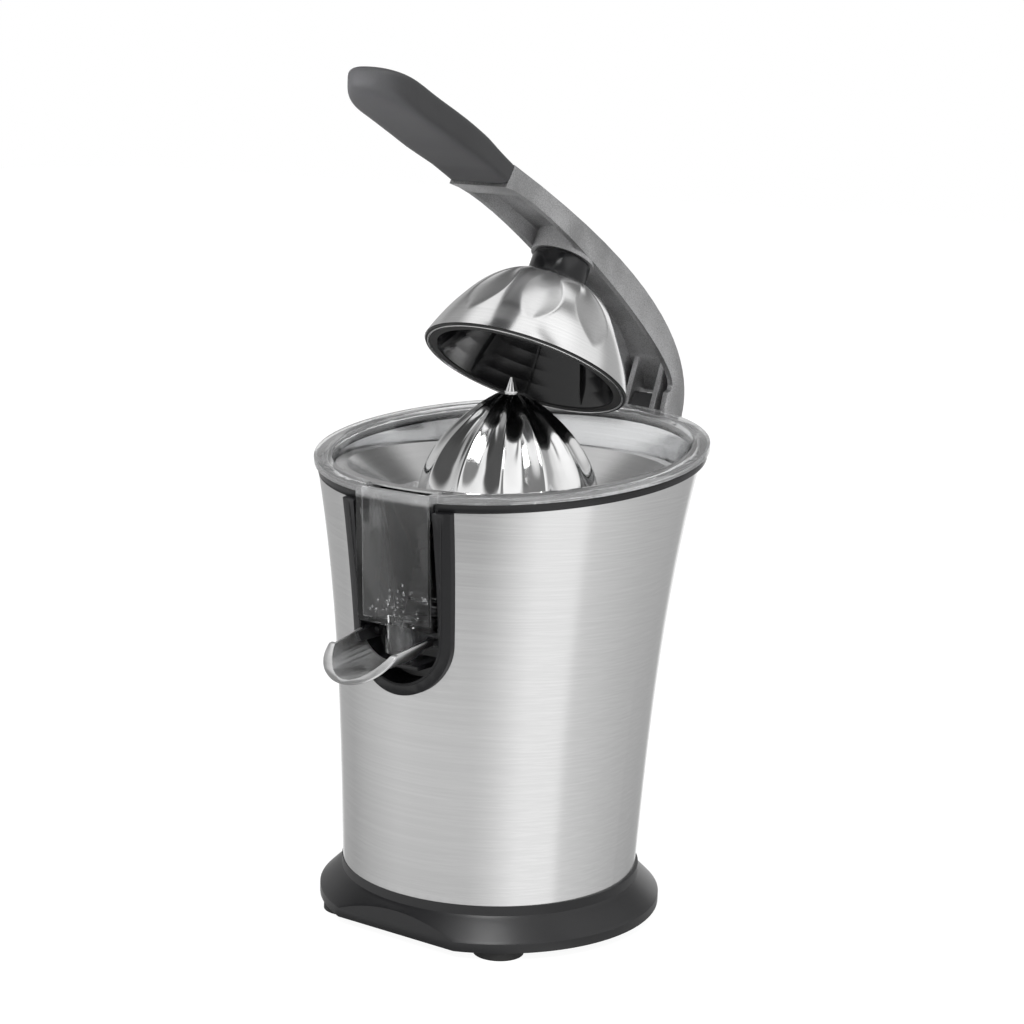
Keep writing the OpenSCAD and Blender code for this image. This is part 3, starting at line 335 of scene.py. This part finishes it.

# %% [markdown]
# ## Pieces of our own
# A new piece rides on a body of the frame and may stand for a CAD node,
# which is then hidden. One helper does both, so no piece is left behind when the lever moves.


# %% Keep a piece
def keep(piece, body, slot, *stands_for):
    """The piece rides on body and may stand for CAD nodes; slot is not used."""
    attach(piece, body)
    if stands_for:
        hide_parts(*stands_for)
    print(piece.name, "rides on", body, "-", len(piece.data.polygons), "faces")
    return piece


def plain_mesh(name, verts, faces):
    mesh = bpy.data.meshes.new(name)
    mesh.from_pydata(verts, [], faces)
    mesh.update()
    obj = bpy.data.objects.new(name, mesh)
    scene.collection.objects.link(obj)
    return obj


def applied(obj):
    """The object with its modifiers turned into a plain mesh."""
    bpy.context.view_layer.update()
    graph = bpy.context.evaluated_depsgraph_get()
    mesh = bpy.data.meshes.new_from_object(obj.evaluated_get(graph))
    obj.modifiers.clear()
    obj.data = mesh
    return obj


def outward(obj):
    """Merges doubles and turns every face outwards."""
    work = bmesh.new()
    work.from_mesh(obj.data)
    bmesh.ops.remove_doubles(work, verts=work.verts, dist=1e-6)
    bmesh.ops.recalc_face_normals(work, faces=work.faces)
    work.to_mesh(obj.data)
    work.free()


def smooth(mesh, angle):
    """Soft shading, with edges sharper than angle kept crisp."""
    mesh.shade_smooth()
    mesh.set_sharp_from_angle(angle=math.radians(angle))


print("piece helpers ready")

# %% [markdown]
# ## Softened edges
# No moulded or cast edge is knife sharp: it is the thin rounded edge that catches the light. The
# CAD solid is copied, its loose triangles are merged and flat faces joined, and a Bevel rounds
# every edge sharper than a limit. Bevelling by hand would give the same, edge by edge.


# %% Softened copies
def copy_of(name):
    """A copy of a CAD node with its triangles merged and its flat faces joined."""
    mesh = nodes[name].data.copy()
    work = bmesh.new()
    work.from_mesh(mesh)
    bmesh.ops.remove_doubles(work, verts=work.verts, dist=2e-6)
    bmesh.ops.dissolve_limit(work, angle_limit=math.radians(0.3), verts=work.verts, edges=work.edges)
    work.to_mesh(mesh)
    work.free()
    obj = bpy.data.objects.new("soft_" + name, mesh)
    scene.collection.objects.link(obj)
    return obj


def soften(name, width, steps=2, limit=35):
    """A copy of a CAD node whose edges sharper than limit are rounded by width, in mm."""
    piece = copy_of(name)
    bevel = piece.modifiers.new("edges", "BEVEL")
    bevel.width = width * MM
    bevel.segments = steps
    bevel.limit_method = "ANGLE"
    bevel.angle_limit = math.radians(limit)
    bevel.use_clamp_overlap = True
    bevel.miter_outer = "MITER_ARC"
    applied(piece)
    smooth(piece.data, 32)
    return keep(piece, body_of[name], slot_of[name], name)


EDGE_WIDTHS = {"base_skirt": 0.5, "trim_ring": 0.3, "spout_frame": 0.4, "lever_arm": 0.3,
               "hinge_block": 0.8, "dome_collar": 0.4, "spout": 0.3, "juice_bowl": 0.4}
soft = {name: soften(name, width) for name, width in EDGE_WIDTHS.items()}
soft["spout"].data.materials[0] = finish["spout_steel"]
print("softened", len(soft), "nodes")

# %% [markdown]
# ## The grip
# The grip is soft rubber: flat, wide and round at its end. It could be a box with large bevels, but
# a row of rounded sections is easier to steer: each section spans from the upper to the lower
# outline, its half width swells a little in the middle, and towards the tip both shrink to a point.
# All points are in mm from the lever's hinge.

# %% The grip
GRIP_TOP = [(-137.5, 143), (-151, 150.5), (-160.5, 156), (-175.5, 163), (-195.5, 172), (-206, 177),
            (-229, 186.9)]
GRIP_LOW = [(-143, 134), (-159, 142), (-177, 149.5), (-188, 154.5), (-209, 163.5), (-229, 172.3)]
STARTS, GRIP_END, GRIP_TIP, TIP_POWER = (-139.7, -145.7), -209.2, 19.5, 2.2
GRIP_HALF, SWELL, WIDER = 16.4, 0.4, 1.2
BODY_STEPS, TIP_STEPS, AROUND = 24, 18, 72


def level_at(line, y):
    """Height of an outline at y."""
    for (y0, z0), (y1, z1) in zip(line, line[1:]):
        if y >= y1:
            return z0 + (z1 - z0) * (y - y0) / (y1 - y0)
    return line[-1][1]


def rounded(value, square):
    """A sine or cosine pushed outwards: 2 keeps a circle, more gives a rounded square."""
    return math.copysign(abs(value) ** (2 / square), value)


stations = []
for i in range(BODY_STEPS + 1):
    high, low = (start + (GRIP_END - start) * i / BODY_STEPS for start in STARTS)
    swell = SWELL * math.sin(math.pi * i / BODY_STEPS) ** 2
    stations.append(((high, level_at(GRIP_TOP, high) + swell), (low, level_at(GRIP_LOW, low)), 1.0, swell))
for i in range(1, TIP_STEPS + 1):
    out = math.sin(math.pi / 2 * i / (TIP_STEPS + 0.2))
    y = GRIP_END - GRIP_TIP * out
    part = (1 - out ** TIP_POWER) ** (1 / TIP_POWER)
    stations.append(((y, level_at(GRIP_TOP, y)), (y, level_at(GRIP_LOW, y)), part, 0))
verts, faces = [], []
for (y0, z0), (y1, z1), part, swell in stations:
    square = 2.2 + 4.3 * part ** 3
    for k in range(AROUND):
        b = 2 * math.pi * (k + 0.5) / AROUND
        wide = (GRIP_HALF * part + WIDER / SWELL * swell) * rounded(math.cos(b), square)
        tall = part ** 0.55 * rounded(math.sin(b), square) / 2
        y, z = (y0 + y1) / 2 + (y0 - y1) * tall, (z0 + z1) / 2 + (z0 - z1) * tall
        verts.append(Vector((wide, y, z)) * MM + HINGE)
for i in range(len(stations) - 1):
    for k in range(AROUND):
        a, b = i * AROUND + k, i * AROUND + (k + 1) % AROUND
        faces.append((a, b, b + AROUND, a + AROUND))
faces += [tuple(range(AROUND)), tuple(len(verts) - 1 - k for k in range(AROUND))]
grip = plain_mesh("rubber_grip", verts, faces)
grip.data.materials.append(finish["grip_rubber"])
outward(grip)
smooth(grip.data, 60)
keep(grip, "lever", "grip_rubber", "grip")

# %% [markdown]
# ## A ring of copies
# Reamer, dome and liner all repeat one slice round an axis. A script loop could copy the slice, but
# Geometry Nodes say the rule itself: points, a copy on each point turned by its index, then the
# seams are merged. Each tree starts with named inputs and ends with real mesh and its finish, so
# two helpers open and close all the trees of this file.


# %% A ring of copies
def open_tree(name, **inputs):
    """A new Geometry Nodes tree with these named inputs, and its input node."""
    tree = bpy.data.node_groups.new(name, "GeometryNodeTree")
    for label, kind in {"Geometry": "Geometry", **inputs, "Finish": "Material"}.items():
        tree.interface.new_socket(label, in_out="INPUT", socket_type="NodeSocket" + kind)
    tree.interface.new_socket("Geometry", in_out="OUTPUT", socket_type="NodeSocketGeometry")
    return tree, add(tree, "NodeGroupInput").outputs


def close_tree(tree, given, made, weld=0.0):
    """Ends a tree: copies become real, points closer than weld merge, and the finish goes on."""
    made = add(tree, "GeometryNodeRealizeInstances", {"Geometry": made}).outputs["Geometry"]
    if weld:
        made = add(tree, "GeometryNodeMergeByDistance", {"Geometry": made, "Distance": weld}).outputs["Geometry"]
    painted = add(tree, "GeometryNodeSetMaterial", {"Geometry": made, "Material": given["Finish"]})
    add(tree, "NodeGroupOutput", {"Geometry": painted.outputs["Geometry"]})
    return tree


def ring_of_copies():
    """Repeats a slice Count times round the Z axis."""
    tree, given = open_tree("ring_of_copies", Count="Int")
    points = add(tree, "GeometryNodePoints", {"Count": given["Count"]})
    step = math_of(tree, "DIVIDE", 2 * math.pi, given["Count"])
    angle = math_of(tree, "MULTIPLY", add(tree, "GeometryNodeInputIndex").outputs["Index"], step)
    spin = add(tree, "ShaderNodeCombineXYZ", {"Z": angle})
    copies = add(tree, "GeometryNodeInstanceOnPoints", {
        "Points": points.outputs[0], "Instance": given["Geometry"], "Rotation": spin.outputs["Vector"]})
    return close_tree(tree, given, copies.outputs["Instances"], weld=0.00002)


def with_rule(obj, tree, **values):
    """Runs a Geometry Nodes tree on the object with these inputs and keeps the result as a mesh."""
    rule = obj.modifiers.new("rule", "NODES")
    rule.node_group = tree
    for item in tree.interface.items_tree:
        if item.in_out == "INPUT" and item.name in values:
            rule[item.identifier] = values[item.name]
    return applied(obj)


def slice_of(name, count, columns, rings):
    """One of count slices of a closed skin; a ring turns an angle into (radius, height)."""
    verts = []
    for ring in rings:
        for j in range(columns + 1):
            a = 2 * math.pi / count * j / columns
            radius, height = ring(a)
            verts.append((radius * math.cos(a) * MM, radius * math.sin(a) * MM, height * MM))
    wide = columns + 1
    faces = []
    for i in range(len(rings)):
        k = (i + 1) % len(rings)
        for j in range(columns):
            faces.append((i * wide + j, i * wide + j + 1, k * wide + j + 1, k * wide + j))
    return plain_mesh(name, verts, faces)


copies = ring_of_copies()
print("tree:", copies.name, len(copies.nodes), "nodes")

# %% [markdown]
# ## The reamer
# Twelve polished ridges with sharp crests tear the fruit. Sculpting them would never be even, and a
# screw modifier can't vary their depth, so one slice is a net of rings: a cone whose radius dips
# between two crests, deepest in the middle of its height, then the stud hole and the hollow inside.

# %% The reamer
REAMER_R, REAMER_H, REAMER_FOOT, RIDGES, FLUTE = 43.0, 55.0, 189.0, 12, 4.0
STUD_R, CAVITY_TOP, CONE_WALL, SHARP = 2.6, 234.0, 2.0, 0.006


def cone_radius(s):
    """Radius over the crests at the share s of the height."""
    return REAMER_R * (1 - (s * REAMER_H / (REAMER_H + 3)) ** 2.2) ** 0.85


def fluted(s):
    """A ring of the cone with its flutes."""
    deep = FLUTE * min(1, 2.5 * s, 5 * (1 - s) + 0.15)

    def ring(a):
        valley = math.sqrt(math.sin(RIDGES * a / 2) ** 2 + SHARP) - math.sqrt(SHARP)
        return cone_radius(s) - deep * valley, REAMER_FOOT + s * REAMER_H
    return ring


def plain(radius, height):
    """A round ring."""
    return lambda a: (radius, height)


rings = [fluted(math.sin(math.pi / 2 * i / 40)) for i in range(41)]
rings += [plain(STUD_R, REAMER_FOOT + REAMER_H), plain(STUD_R, CAVITY_TOP)]
inside = (CAVITY_TOP - REAMER_FOOT) / REAMER_H
for i in range(4, -1, -1):
    rings.append(plain(cone_radius(inside * i / 4) - FLUTE - CONE_WALL, REAMER_FOOT + inside * REAMER_H * i / 4))
reamer = slice_of("reamer_flutes", RIDGES, 20, rings)
with_rule(reamer, copies, Count=RIDGES, Finish=finish["polished_steel"])
outward(reamer)
smooth(reamer.data, 50)
keep(reamer, "reamer", "polished_steel", "reamer_cone")

# %% [markdown]
# ## The dome
# The dome is one steel sheet with nine leaf-shaped hollows pressed into it. They could be cut with
# nine scaled balls, which would leave hard edges. Here the radius of each ring dips by a smooth rule
# of height and angle, so the sheet stays one soft surface. It is made upright and then tilted.

# %% The dome
DOME_R, DOME_H, HOLLOWS, HOLLOW_D, DOME_WALL, BOLT_R = 49.4, 46.8, 9, 2.0, 1.2, 3.2
DOME_TOP = DOME_H - 1.1
HOLLOW_MID, HOLLOW_REACH, HOLLOW_SHARE = 0.56 * DOME_H, 0.38 * DOME_H, 0.74


def dome_radius(z):
    """Radius of the dome without its hollows."""
    return DOME_R * max(0, 1 - (z / DOME_H) ** 1.06) ** (1 / 2.82)


def pressed(z):
    """A ring of the dome with its hollows."""
    def ring(a):
        u = (z - HOLLOW_MID) / HOLLOW_REACH
        step = 2 * math.pi / HOLLOWS
        half = step / 2 * HOLLOW_SHARE * max(0, 1 - u * u)
        off = abs(a % step - step / 2)
        deep = HOLLOW_D * (1 - (off / half) ** 2) * (1 - u * u) if off < half else 0.0
        return dome_radius(z) - deep, z
    return ring


rings = [pressed(DOME_TOP * math.sin(math.pi / 2 * i / 48)) for i in range(49)]
rings += [plain(BOLT_R, DOME_TOP), plain(BOLT_R, DOME_TOP - DOME_WALL)]
for i in range(10, -1, -1):
    z = (DOME_TOP - DOME_WALL) * math.sin(math.pi / 2 * i / 10)
    rings.append(plain(dome_radius(min(z + DOME_WALL, DOME_TOP)) - DOME_WALL - HOLLOW_D, z))
dome = slice_of("fluted_dome", HOLLOWS, 32, rings)
with_rule(dome, copies, Count=HOLLOWS, Finish=finish["dome_steel"])
dome.data.transform(tilt)
outward(dome)
smooth(dome.data, 40)
keep(dome, "dome", "brushed_steel", "press_dome")

# %% [markdown]
# ## Ribs inside the dome
# The black liner has ribs that hold the fruit. Each rib is a thin fin that follows the liner's
# curve, so one fin is drawn and the same ring of copies sets the rest. They could be bump in the
# liner's material, but then nothing would show against the light at the dome's edge.

# %% Ribs inside the dome
RIBS, RIB_T, RIB_D, RIB_FOOT, RIB_SHORT, RIB_SUNK, LEVELS = 9, 1.4, 2.6, 1.2, 6, 0.3, 14
LINER_IN, LINER_UP = DOME_WALL + HOLLOW_D + 2.0, DOME_WALL + 2.0


def liner_radius(z):
    """Inner radius of the liner."""
    return dome_radius(min(z + LINER_UP, DOME_TOP)) - LINER_IN


verts, faces = [], []
for i in range(LEVELS + 1):
    z = RIB_FOOT + (DOME_TOP - LINER_UP - RIB_SHORT) * i / LEVELS
    outer = liner_radius(z) + RIB_SUNK
    deep = RIB_D * min(1, 4 * i / LEVELS + 0.25)
    for radius, side in ((outer, -1), (outer, 1), (outer - deep, 0.6), (outer - deep, -0.6)):
        verts.append((radius * MM, side * RIB_T / 2 * MM, z * MM))
for i in range(LEVELS):
    for j in range(4):
        a, b = 4 * i + j, 4 * i + (j + 1) % 4
        faces.append((a, b, b + 4, a + 4))
faces += [(3, 2, 1, 0), tuple(4 * LEVELS + j for j in range(4))]
ribs = plain_mesh("liner_ribs", verts, faces)
with_rule(ribs, copies, Count=RIBS, Finish=finish["liner_plastic"])
ribs.data.transform(tilt)
outward(ribs)
smooth(ribs.data, 30)
keep(ribs, "dome", "liner_plastic")

# %% [markdown]
# ## A bead along the spout's frame
# A thin raised bead runs round the inside of the black frame. It follows a path, so the path is
# found by casting rays on the frame from the front, and Geometry Nodes sweep a round profile
# along it. A bevelled curve object would do the same, but the export wants plain meshes.

# %% A bead along the spout's frame
FRAME_HALF, FOOT_LEVEL, FRAME_TOP, BEAD_R = 21.6, 143.8, 206.0, 0.45
BEAD_OUT, SPLAY, SIDE_STEPS, ARC_STEPS = 0.7, 0.05, 24, 32


def swept_tube():
    """A round tube of that Radius along the edges of a mesh."""
    tree, given = open_tree("swept_tube", Radius="Float")
    path = add(tree, "GeometryNodeMeshToCurve", {"Mesh": given["Geometry"]})
    profile = add(tree, "GeometryNodeCurvePrimitiveCircle", {"Resolution": 8, "Radius": given["Radius"]})
    tube = add(tree, "GeometryNodeCurveToMesh", {
        "Curve": path.outputs["Curve"], "Profile Curve": profile.outputs["Curve"], "Fill Caps": True})
    return close_tree(tree, given, tube.outputs["Mesh"])


faces_of = {}


def front_of(name, x, z):
    """Where a ray from the front first meets a CAD node, or None."""
    mesh = nodes[name].data
    if name not in faces_of:
        faces_of[name] = BVHTree.FromPolygons([v.co for v in mesh.vertices], [p.vertices for p in mesh.polygons])
    return faces_of[name].ray_cast(Vector((x * MM, -0.2, z * MM)), Vector((0, 1, 0)))[0]


sweep = swept_tube()


def swept(name, way, radius, material, closed=False):
    """A round wire of this radius, in mm, along a way of points in metres."""
    wire = plain_mesh(name, way, [])
    wire.data.edges.add(len(way) - (0 if closed else 1))
    for i, edge in enumerate(wire.data.edges):
        edge.vertices = (i, (i + 1) % len(way))
    wire.data.update()
    return with_rule(wire, sweep, Radius=radius * MM, Finish=finish[material])


path = []
half = FRAME_HALF + BEAD_OUT
for i in range(SIDE_STEPS + 1):
    path.append((-half, FRAME_TOP + (FOOT_LEVEL - FRAME_TOP) * i / SIDE_STEPS))
for i in range(1, ARC_STEPS):
    a = math.pi * i / ARC_STEPS
    path.append((-half * math.cos(a), FOOT_LEVEL - half * math.sin(a)))
for i in range(SIDE_STEPS + 1):
    path.append((half, FOOT_LEVEL + (FRAME_TOP - FOOT_LEVEL) * i / SIDE_STEPS))
splayed = [(x + math.copysign(SPLAY * max(0, z - FOOT_LEVEL), x), z) for x, z in path]
way = [p for p in (front_of("spout_frame", x, z) for x, z in splayed) if p]
bead = swept("frame_bead", [tuple(p) for p in way], BEAD_R, "black_trim")
outward(bead)
smooth(bead.data, 60)
keep(bead, "body", "black_trim")

# %% [markdown]
# ## A bright line under the dome
# The steel of the dome is folded round the black seal, and its edge shows as a thin bright line.
# It could be a torus, but the line is a circle, so the sweep that made the bead makes it too.

# %% A bright line under the dome
EDGE_IN, EDGE_Z, EDGE_R, EDGE_STEPS = 2.0, -0.8, 0.45, 96
circle = []
for i in range(EDGE_STEPS):
    a = 2 * math.pi * i / EDGE_STEPS
    circle.append(((DOME_R - EDGE_IN) * MM * math.cos(a), (DOME_R - EDGE_IN) * MM * math.sin(a), EDGE_Z * MM))
edge_line = swept("dome_edge", circle, EDGE_R, "polished_steel", closed=True)
edge_line.data.transform(tilt)
outward(edge_line)
smooth(edge_line.data, 60)
keep(edge_line, "dome", "brushed_steel")

# %% [markdown]
# ## The return spring
# A wound wire lifts the reamer after each press. It is a sweep along a helix, so the same tree
# makes it. It rides on the reamer as one rigid piece and is not squashed as the reamer goes
# down, so there its lower end would cut into the gear.

# %% The return spring
SPRING_TURNS, SPRING_WIRE, PER_TURN, TRAVEL = 4, 0.6, 24, 3.0
spring_low, spring_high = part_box("return_spring")
coil = spring_high[0] - SPRING_WIRE * MM
length = spring_high[2] - spring_low[2]
foot, rise = spring_low[2] + SPRING_WIRE * MM, length - 2 * SPRING_WIRE * MM
helix = []
for i in range(SPRING_TURNS * PER_TURN + 1):
    a = 2 * math.pi * i / PER_TURN
    helix.append((coil * math.cos(a), coil * math.sin(a), foot + rise * i / (SPRING_TURNS * PER_TURN)))
spring = swept("wound_spring", helix, SPRING_WIRE, slot_of["return_spring"])
outward(spring)
smooth(spring.data, 60)
keep(spring, body_of["return_spring"], slot_of["return_spring"], "return_spring")
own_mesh(spring)
print("spring", round(length / MM, 2), "mm long at rest")

# %% [markdown]
# ## Drops on the window
# A few drops of juice cling to the inside of the window, low down. Scattering points on a small
# patch of the window with a fixed seed gives them no order, and each drop is a flattened ball of
# its own size. Painting them as bump would lose their bright rims.


# %% Drops on the window
def scattered_drops():
    """Flattened balls of about that Size, scattered on a mesh."""
    tree, given = open_tree("scattered_drops", Density="Float", Size="Float", Seed="Int")
    points = add(tree, "GeometryNodeDistributePointsOnFaces", {
        "Mesh": given["Geometry"], "Density": given["Density"], "Seed": given["Seed"]})
    ball = add(tree, "GeometryNodeMeshIcoSphere", {"Radius": given["Size"], "Subdivisions": 2})
    scale = add(tree, "FunctionNodeRandomValue", {"Seed": given["Seed"]}, data_type="FLOAT_VECTOR")
    scale.inputs[0].default_value = (0.45, 0.45, 0.3)
    scale.inputs[1].default_value = (1.0, 1.5, 0.4)
    drops = add(tree, "GeometryNodeInstanceOnPoints", {
        "Points": points.outputs["Points"], "Instance": ball.outputs["Mesh"],
        "Rotation": points.outputs["Rotation"], "Scale": scale.outputs[0]})
    return close_tree(tree, given, drops.outputs["Instances"])


WINDOW_T, SPACE, DROP_SIZE, DROP_SEED, PER_AREA = 2.2, 0.25, 0.7, 4, 110000.0
SPOTS = [(-16, 153), (17, 153), (17, 163), (4, 168), (-16, 158)]
patch = []
for x, z in SPOTS:
    place = front_of("juice_bowl", x, z)
    patch.append((place.x, place.y + (WINDOW_T + SPACE) * MM, place.z))
drops = plain_mesh("juice_drops", patch, [tuple(range(len(patch)))])
with_rule(drops, scattered_drops(), Density=PER_AREA, Size=DROP_SIZE * MM, Seed=DROP_SEED,
          Finish=finish["juice_drops"])
outward(drops)
drops.data.shade_smooth()
keep(drops, "body", "clear_plastic")

# %% [markdown]
# ## The room
# Steel shows what stands round it. The camera, and what is seen through clear plastic, meet a plain
# white room. Mirrors meet another one, with bright and dark cards as photographers set them up,
# and those draw the bands in the steel. The cards could be planes in the scene, but a ramp
# over the direction of the ray needs no objects. Each ramp runs once round the press, from behind (0)
# by the left (0.25), the front (0.5) and the right (0.75).

# %% World
UPPER = [(0.0, 0.45), (0.05, 0.45), (0.07, 1.0), (0.14, 1.0), (0.17, 0.45), (0.25, 0.45), (0.4, 0.85),
         (0.6, 0.85), (0.65, 1.0), (0.735, 1.0), (0.75, 0.75), (1.0, 0.45)]
LOWER = [(0.0, 0.25), (0.25, 0.25), (0.55, 0.4), (0.65, 1.0), (0.735, 1.0), (0.75, 0.75), (1.0, 0.25)]
RING = [(0.0, 0.15), (0.14, 0.12), (0.2, 0.3), (0.25, 0.3), (0.27, 0.08), (0.43, 0.08), (0.46, 0.9),
        (0.53, 0.8), (0.56, 0.2), (0.66, 0.2), (0.69, 1.0), (0.8, 0.85), (0.9, 0.7), (0.96, 0.3),
        (1.0, 0.15)]
CARDS = [(0.0, 0.8), (0.02, 0.8), (0.04, 0.3), (0.07, 0.3), (0.09, 0.7), (0.3, 0.8), (0.32, 0.05),
         (0.44, 0.05), (0.46, 0.8), (0.53, 0.9), (0.55, 0.05), (0.67, 0.05), (0.69, 1.0), (0.75, 1.0),
         (0.765, 0.2), (0.785, 0.2), (0.8, 0.95), (0.88, 0.9), (0.9, 0.2), (0.93, 0.2), (0.95, 0.8),
         (1.0, 0.8)]
LEAN, SHIFT, ZENITH, SKY_STRENGTH = 0.133, 0.0532, (0.85, 0.85, 0.85, 1), 1.25
world = bpy.data.worlds.new("studio")
scene.world = world
world.use_nodes = True
tree = world.node_tree
tree.nodes.clear()
axes = add(tree, "ShaderNodeSeparateXYZ", {"Vector": add(tree, "ShaderNodeTexCoord").outputs["Generated"]}).outputs
angle = math_of(tree, "ARCTAN2", axes["X"], math_of(tree, "MULTIPLY", axes["Y"], -1.0))
turn = add(tree, "ShaderNodeMapRange", {"Value": angle, "From Min": -math.pi, "From Max": math.pi}).outputs["Result"]


def beyond(low, high, kind="SMOOTHSTEP"):
    """0 where the ray climbs less than low, 1 where it climbs more than high."""
    return add(tree, "ShaderNodeMapRange", {"Value": axes["Z"], "From Min": low, "From Max": high},
               interpolation_type=kind).outputs["Result"]


def mixed(factor, a, b):
    """The colours a and b mixed."""
    return add(tree, "ShaderNodeMix", {"Factor": factor, "A": a, "B": b}, data_type="RGBA").outputs["Result"]


def glow_of(colour, strength=1.0):
    """Light of one colour from everywhere."""
    return add(tree, "ShaderNodeBackground", {"Color": colour, "Strength": strength}).outputs["Background"]


# the bands of the walls lean a little, and low down the room is darker on the left
leant = math_of(tree, "ADD", turn, math_of(tree, "MULTIPLY_ADD", axes["Z"], LEAN, SHIFT))
walls = mixed(beyond(-0.34, -0.45, "LINEAR"), ramp(tree, leant, UPPER, smooth=False),
              ramp(tree, leant, LOWER, smooth=False))
sky = mixed(beyond(0.62, 0.8), ramp(tree, turn, RING), ramp(tree, turn, CARDS))
sky = mixed(beyond(0.93, 0.975), sky, ZENITH)
room = add(tree, "ShaderNodeMixShader", {0: beyond(0.22, 0.4), 1: glow_of(walls), 2: glow_of(sky, SKY_STRENGTH)})
mix = add(tree, "ShaderNodeMixShader", {0: seen_plainly(tree), 1: room.outputs["Shader"], 2: glow_of((1, 1, 1, 1))})
add(tree, "ShaderNodeOutputWorld", {"Surface": mix.outputs["Shader"]})
print("world ready:", len(tree.nodes), "nodes")

# %% [markdown]
# ## Floor and lamps
# The floor has to look as white as the room and still show a soft shadow, so most of what the camera
# sees of it is its own glow and the rest is lit paint. A shadow catcher would need compositing.
# Four area lamps light the press: a large one from the left, a weak one from the right, a narrow
# one from low down for the underside of the grip, and a small one from the front. The steel
# mirrors only the last of them, and not the floor, because the cards of the room draw its bands.


# %% Floor and lamps
FLOOR_SIDE, FLOOR_GLOW, GLOW_SHARE = 6, 1.14, 0.82


def floor_material():
    """White paint that glows for the camera."""
    material = bpy.data.materials.new("white_floor")
    material.use_nodes = True
    tree = material.node_tree
    tree.nodes.clear()
    diffuse = add(tree, "ShaderNodeBsdfDiffuse", {"Color": (0.94, 0.94, 0.94, 1)})
    shine = add(tree, "ShaderNodeEmission", {"Color": (1, 1, 1, 1), "Strength": FLOOR_GLOW})
    part = math_of(tree, "MULTIPLY", seen_plainly(tree), GLOW_SHARE)
    mix = add(tree, "ShaderNodeMixShader", {0: part, 1: diffuse.outputs["BSDF"], 2: shine.outputs["Emission"]})
    add(tree, "ShaderNodeOutputMaterial", {"Surface": mix.outputs["Shader"]})
    return material


corners = [(x * FLOOR_SIDE, y * FLOOR_SIDE, 0) for x, y in ((-1, -1), (1, -1), (1, 1), (-1, 1))]
floor = plain_mesh("floor", corners, [(0, 1, 2, 3)])
floor.data.materials.append(floor_material())
floor.visible_glossy = False


def soft_lamp(name, place, target, size, power, mirrored=False, beam=180):
    """An area lamp of that size in metres and power in watts, with a beam in degrees."""
    data = bpy.data.lights.new(name, "AREA")
    data.shape = "RECTANGLE"
    data.size, data.size_y = size
    data.energy = power
    data.spread = math.radians(beam)
    lamp = bpy.data.objects.new(name, data)
    scene.collection.objects.link(lamp)
    aim = (Vector(target) - Vector(place)).to_track_quat("-Z", "Y")
    lamp.matrix_world = Matrix.Translation(place) @ aim.to_matrix().to_4x4()
    lamp.visible_glossy = lamp.visible_transmission = mirrored


soft_lamp("key", (-0.5, -1.3, 1.5), (0, 0, 0.2), (0.9, 0.9), 14)
soft_lamp("fill", (1.5, 0.2, 0.9), (0, 0, 0.2), (0.6, 1.2), 1.9)
soft_lamp("bounce", (-0.35, -0.8, 0.03), (0, -0.2, 0.42), (0.3, 0.3), 2.2, beam=26)
soft_lamp("front", (0.36, -0.52, 1.12), (0, 0, 0.1), (0.35, 0.35), 3.8, mirrored=True)
print("floor and lamps ready")

# %% [markdown]
# ## Finish

# %% Finish
print("scene finished")
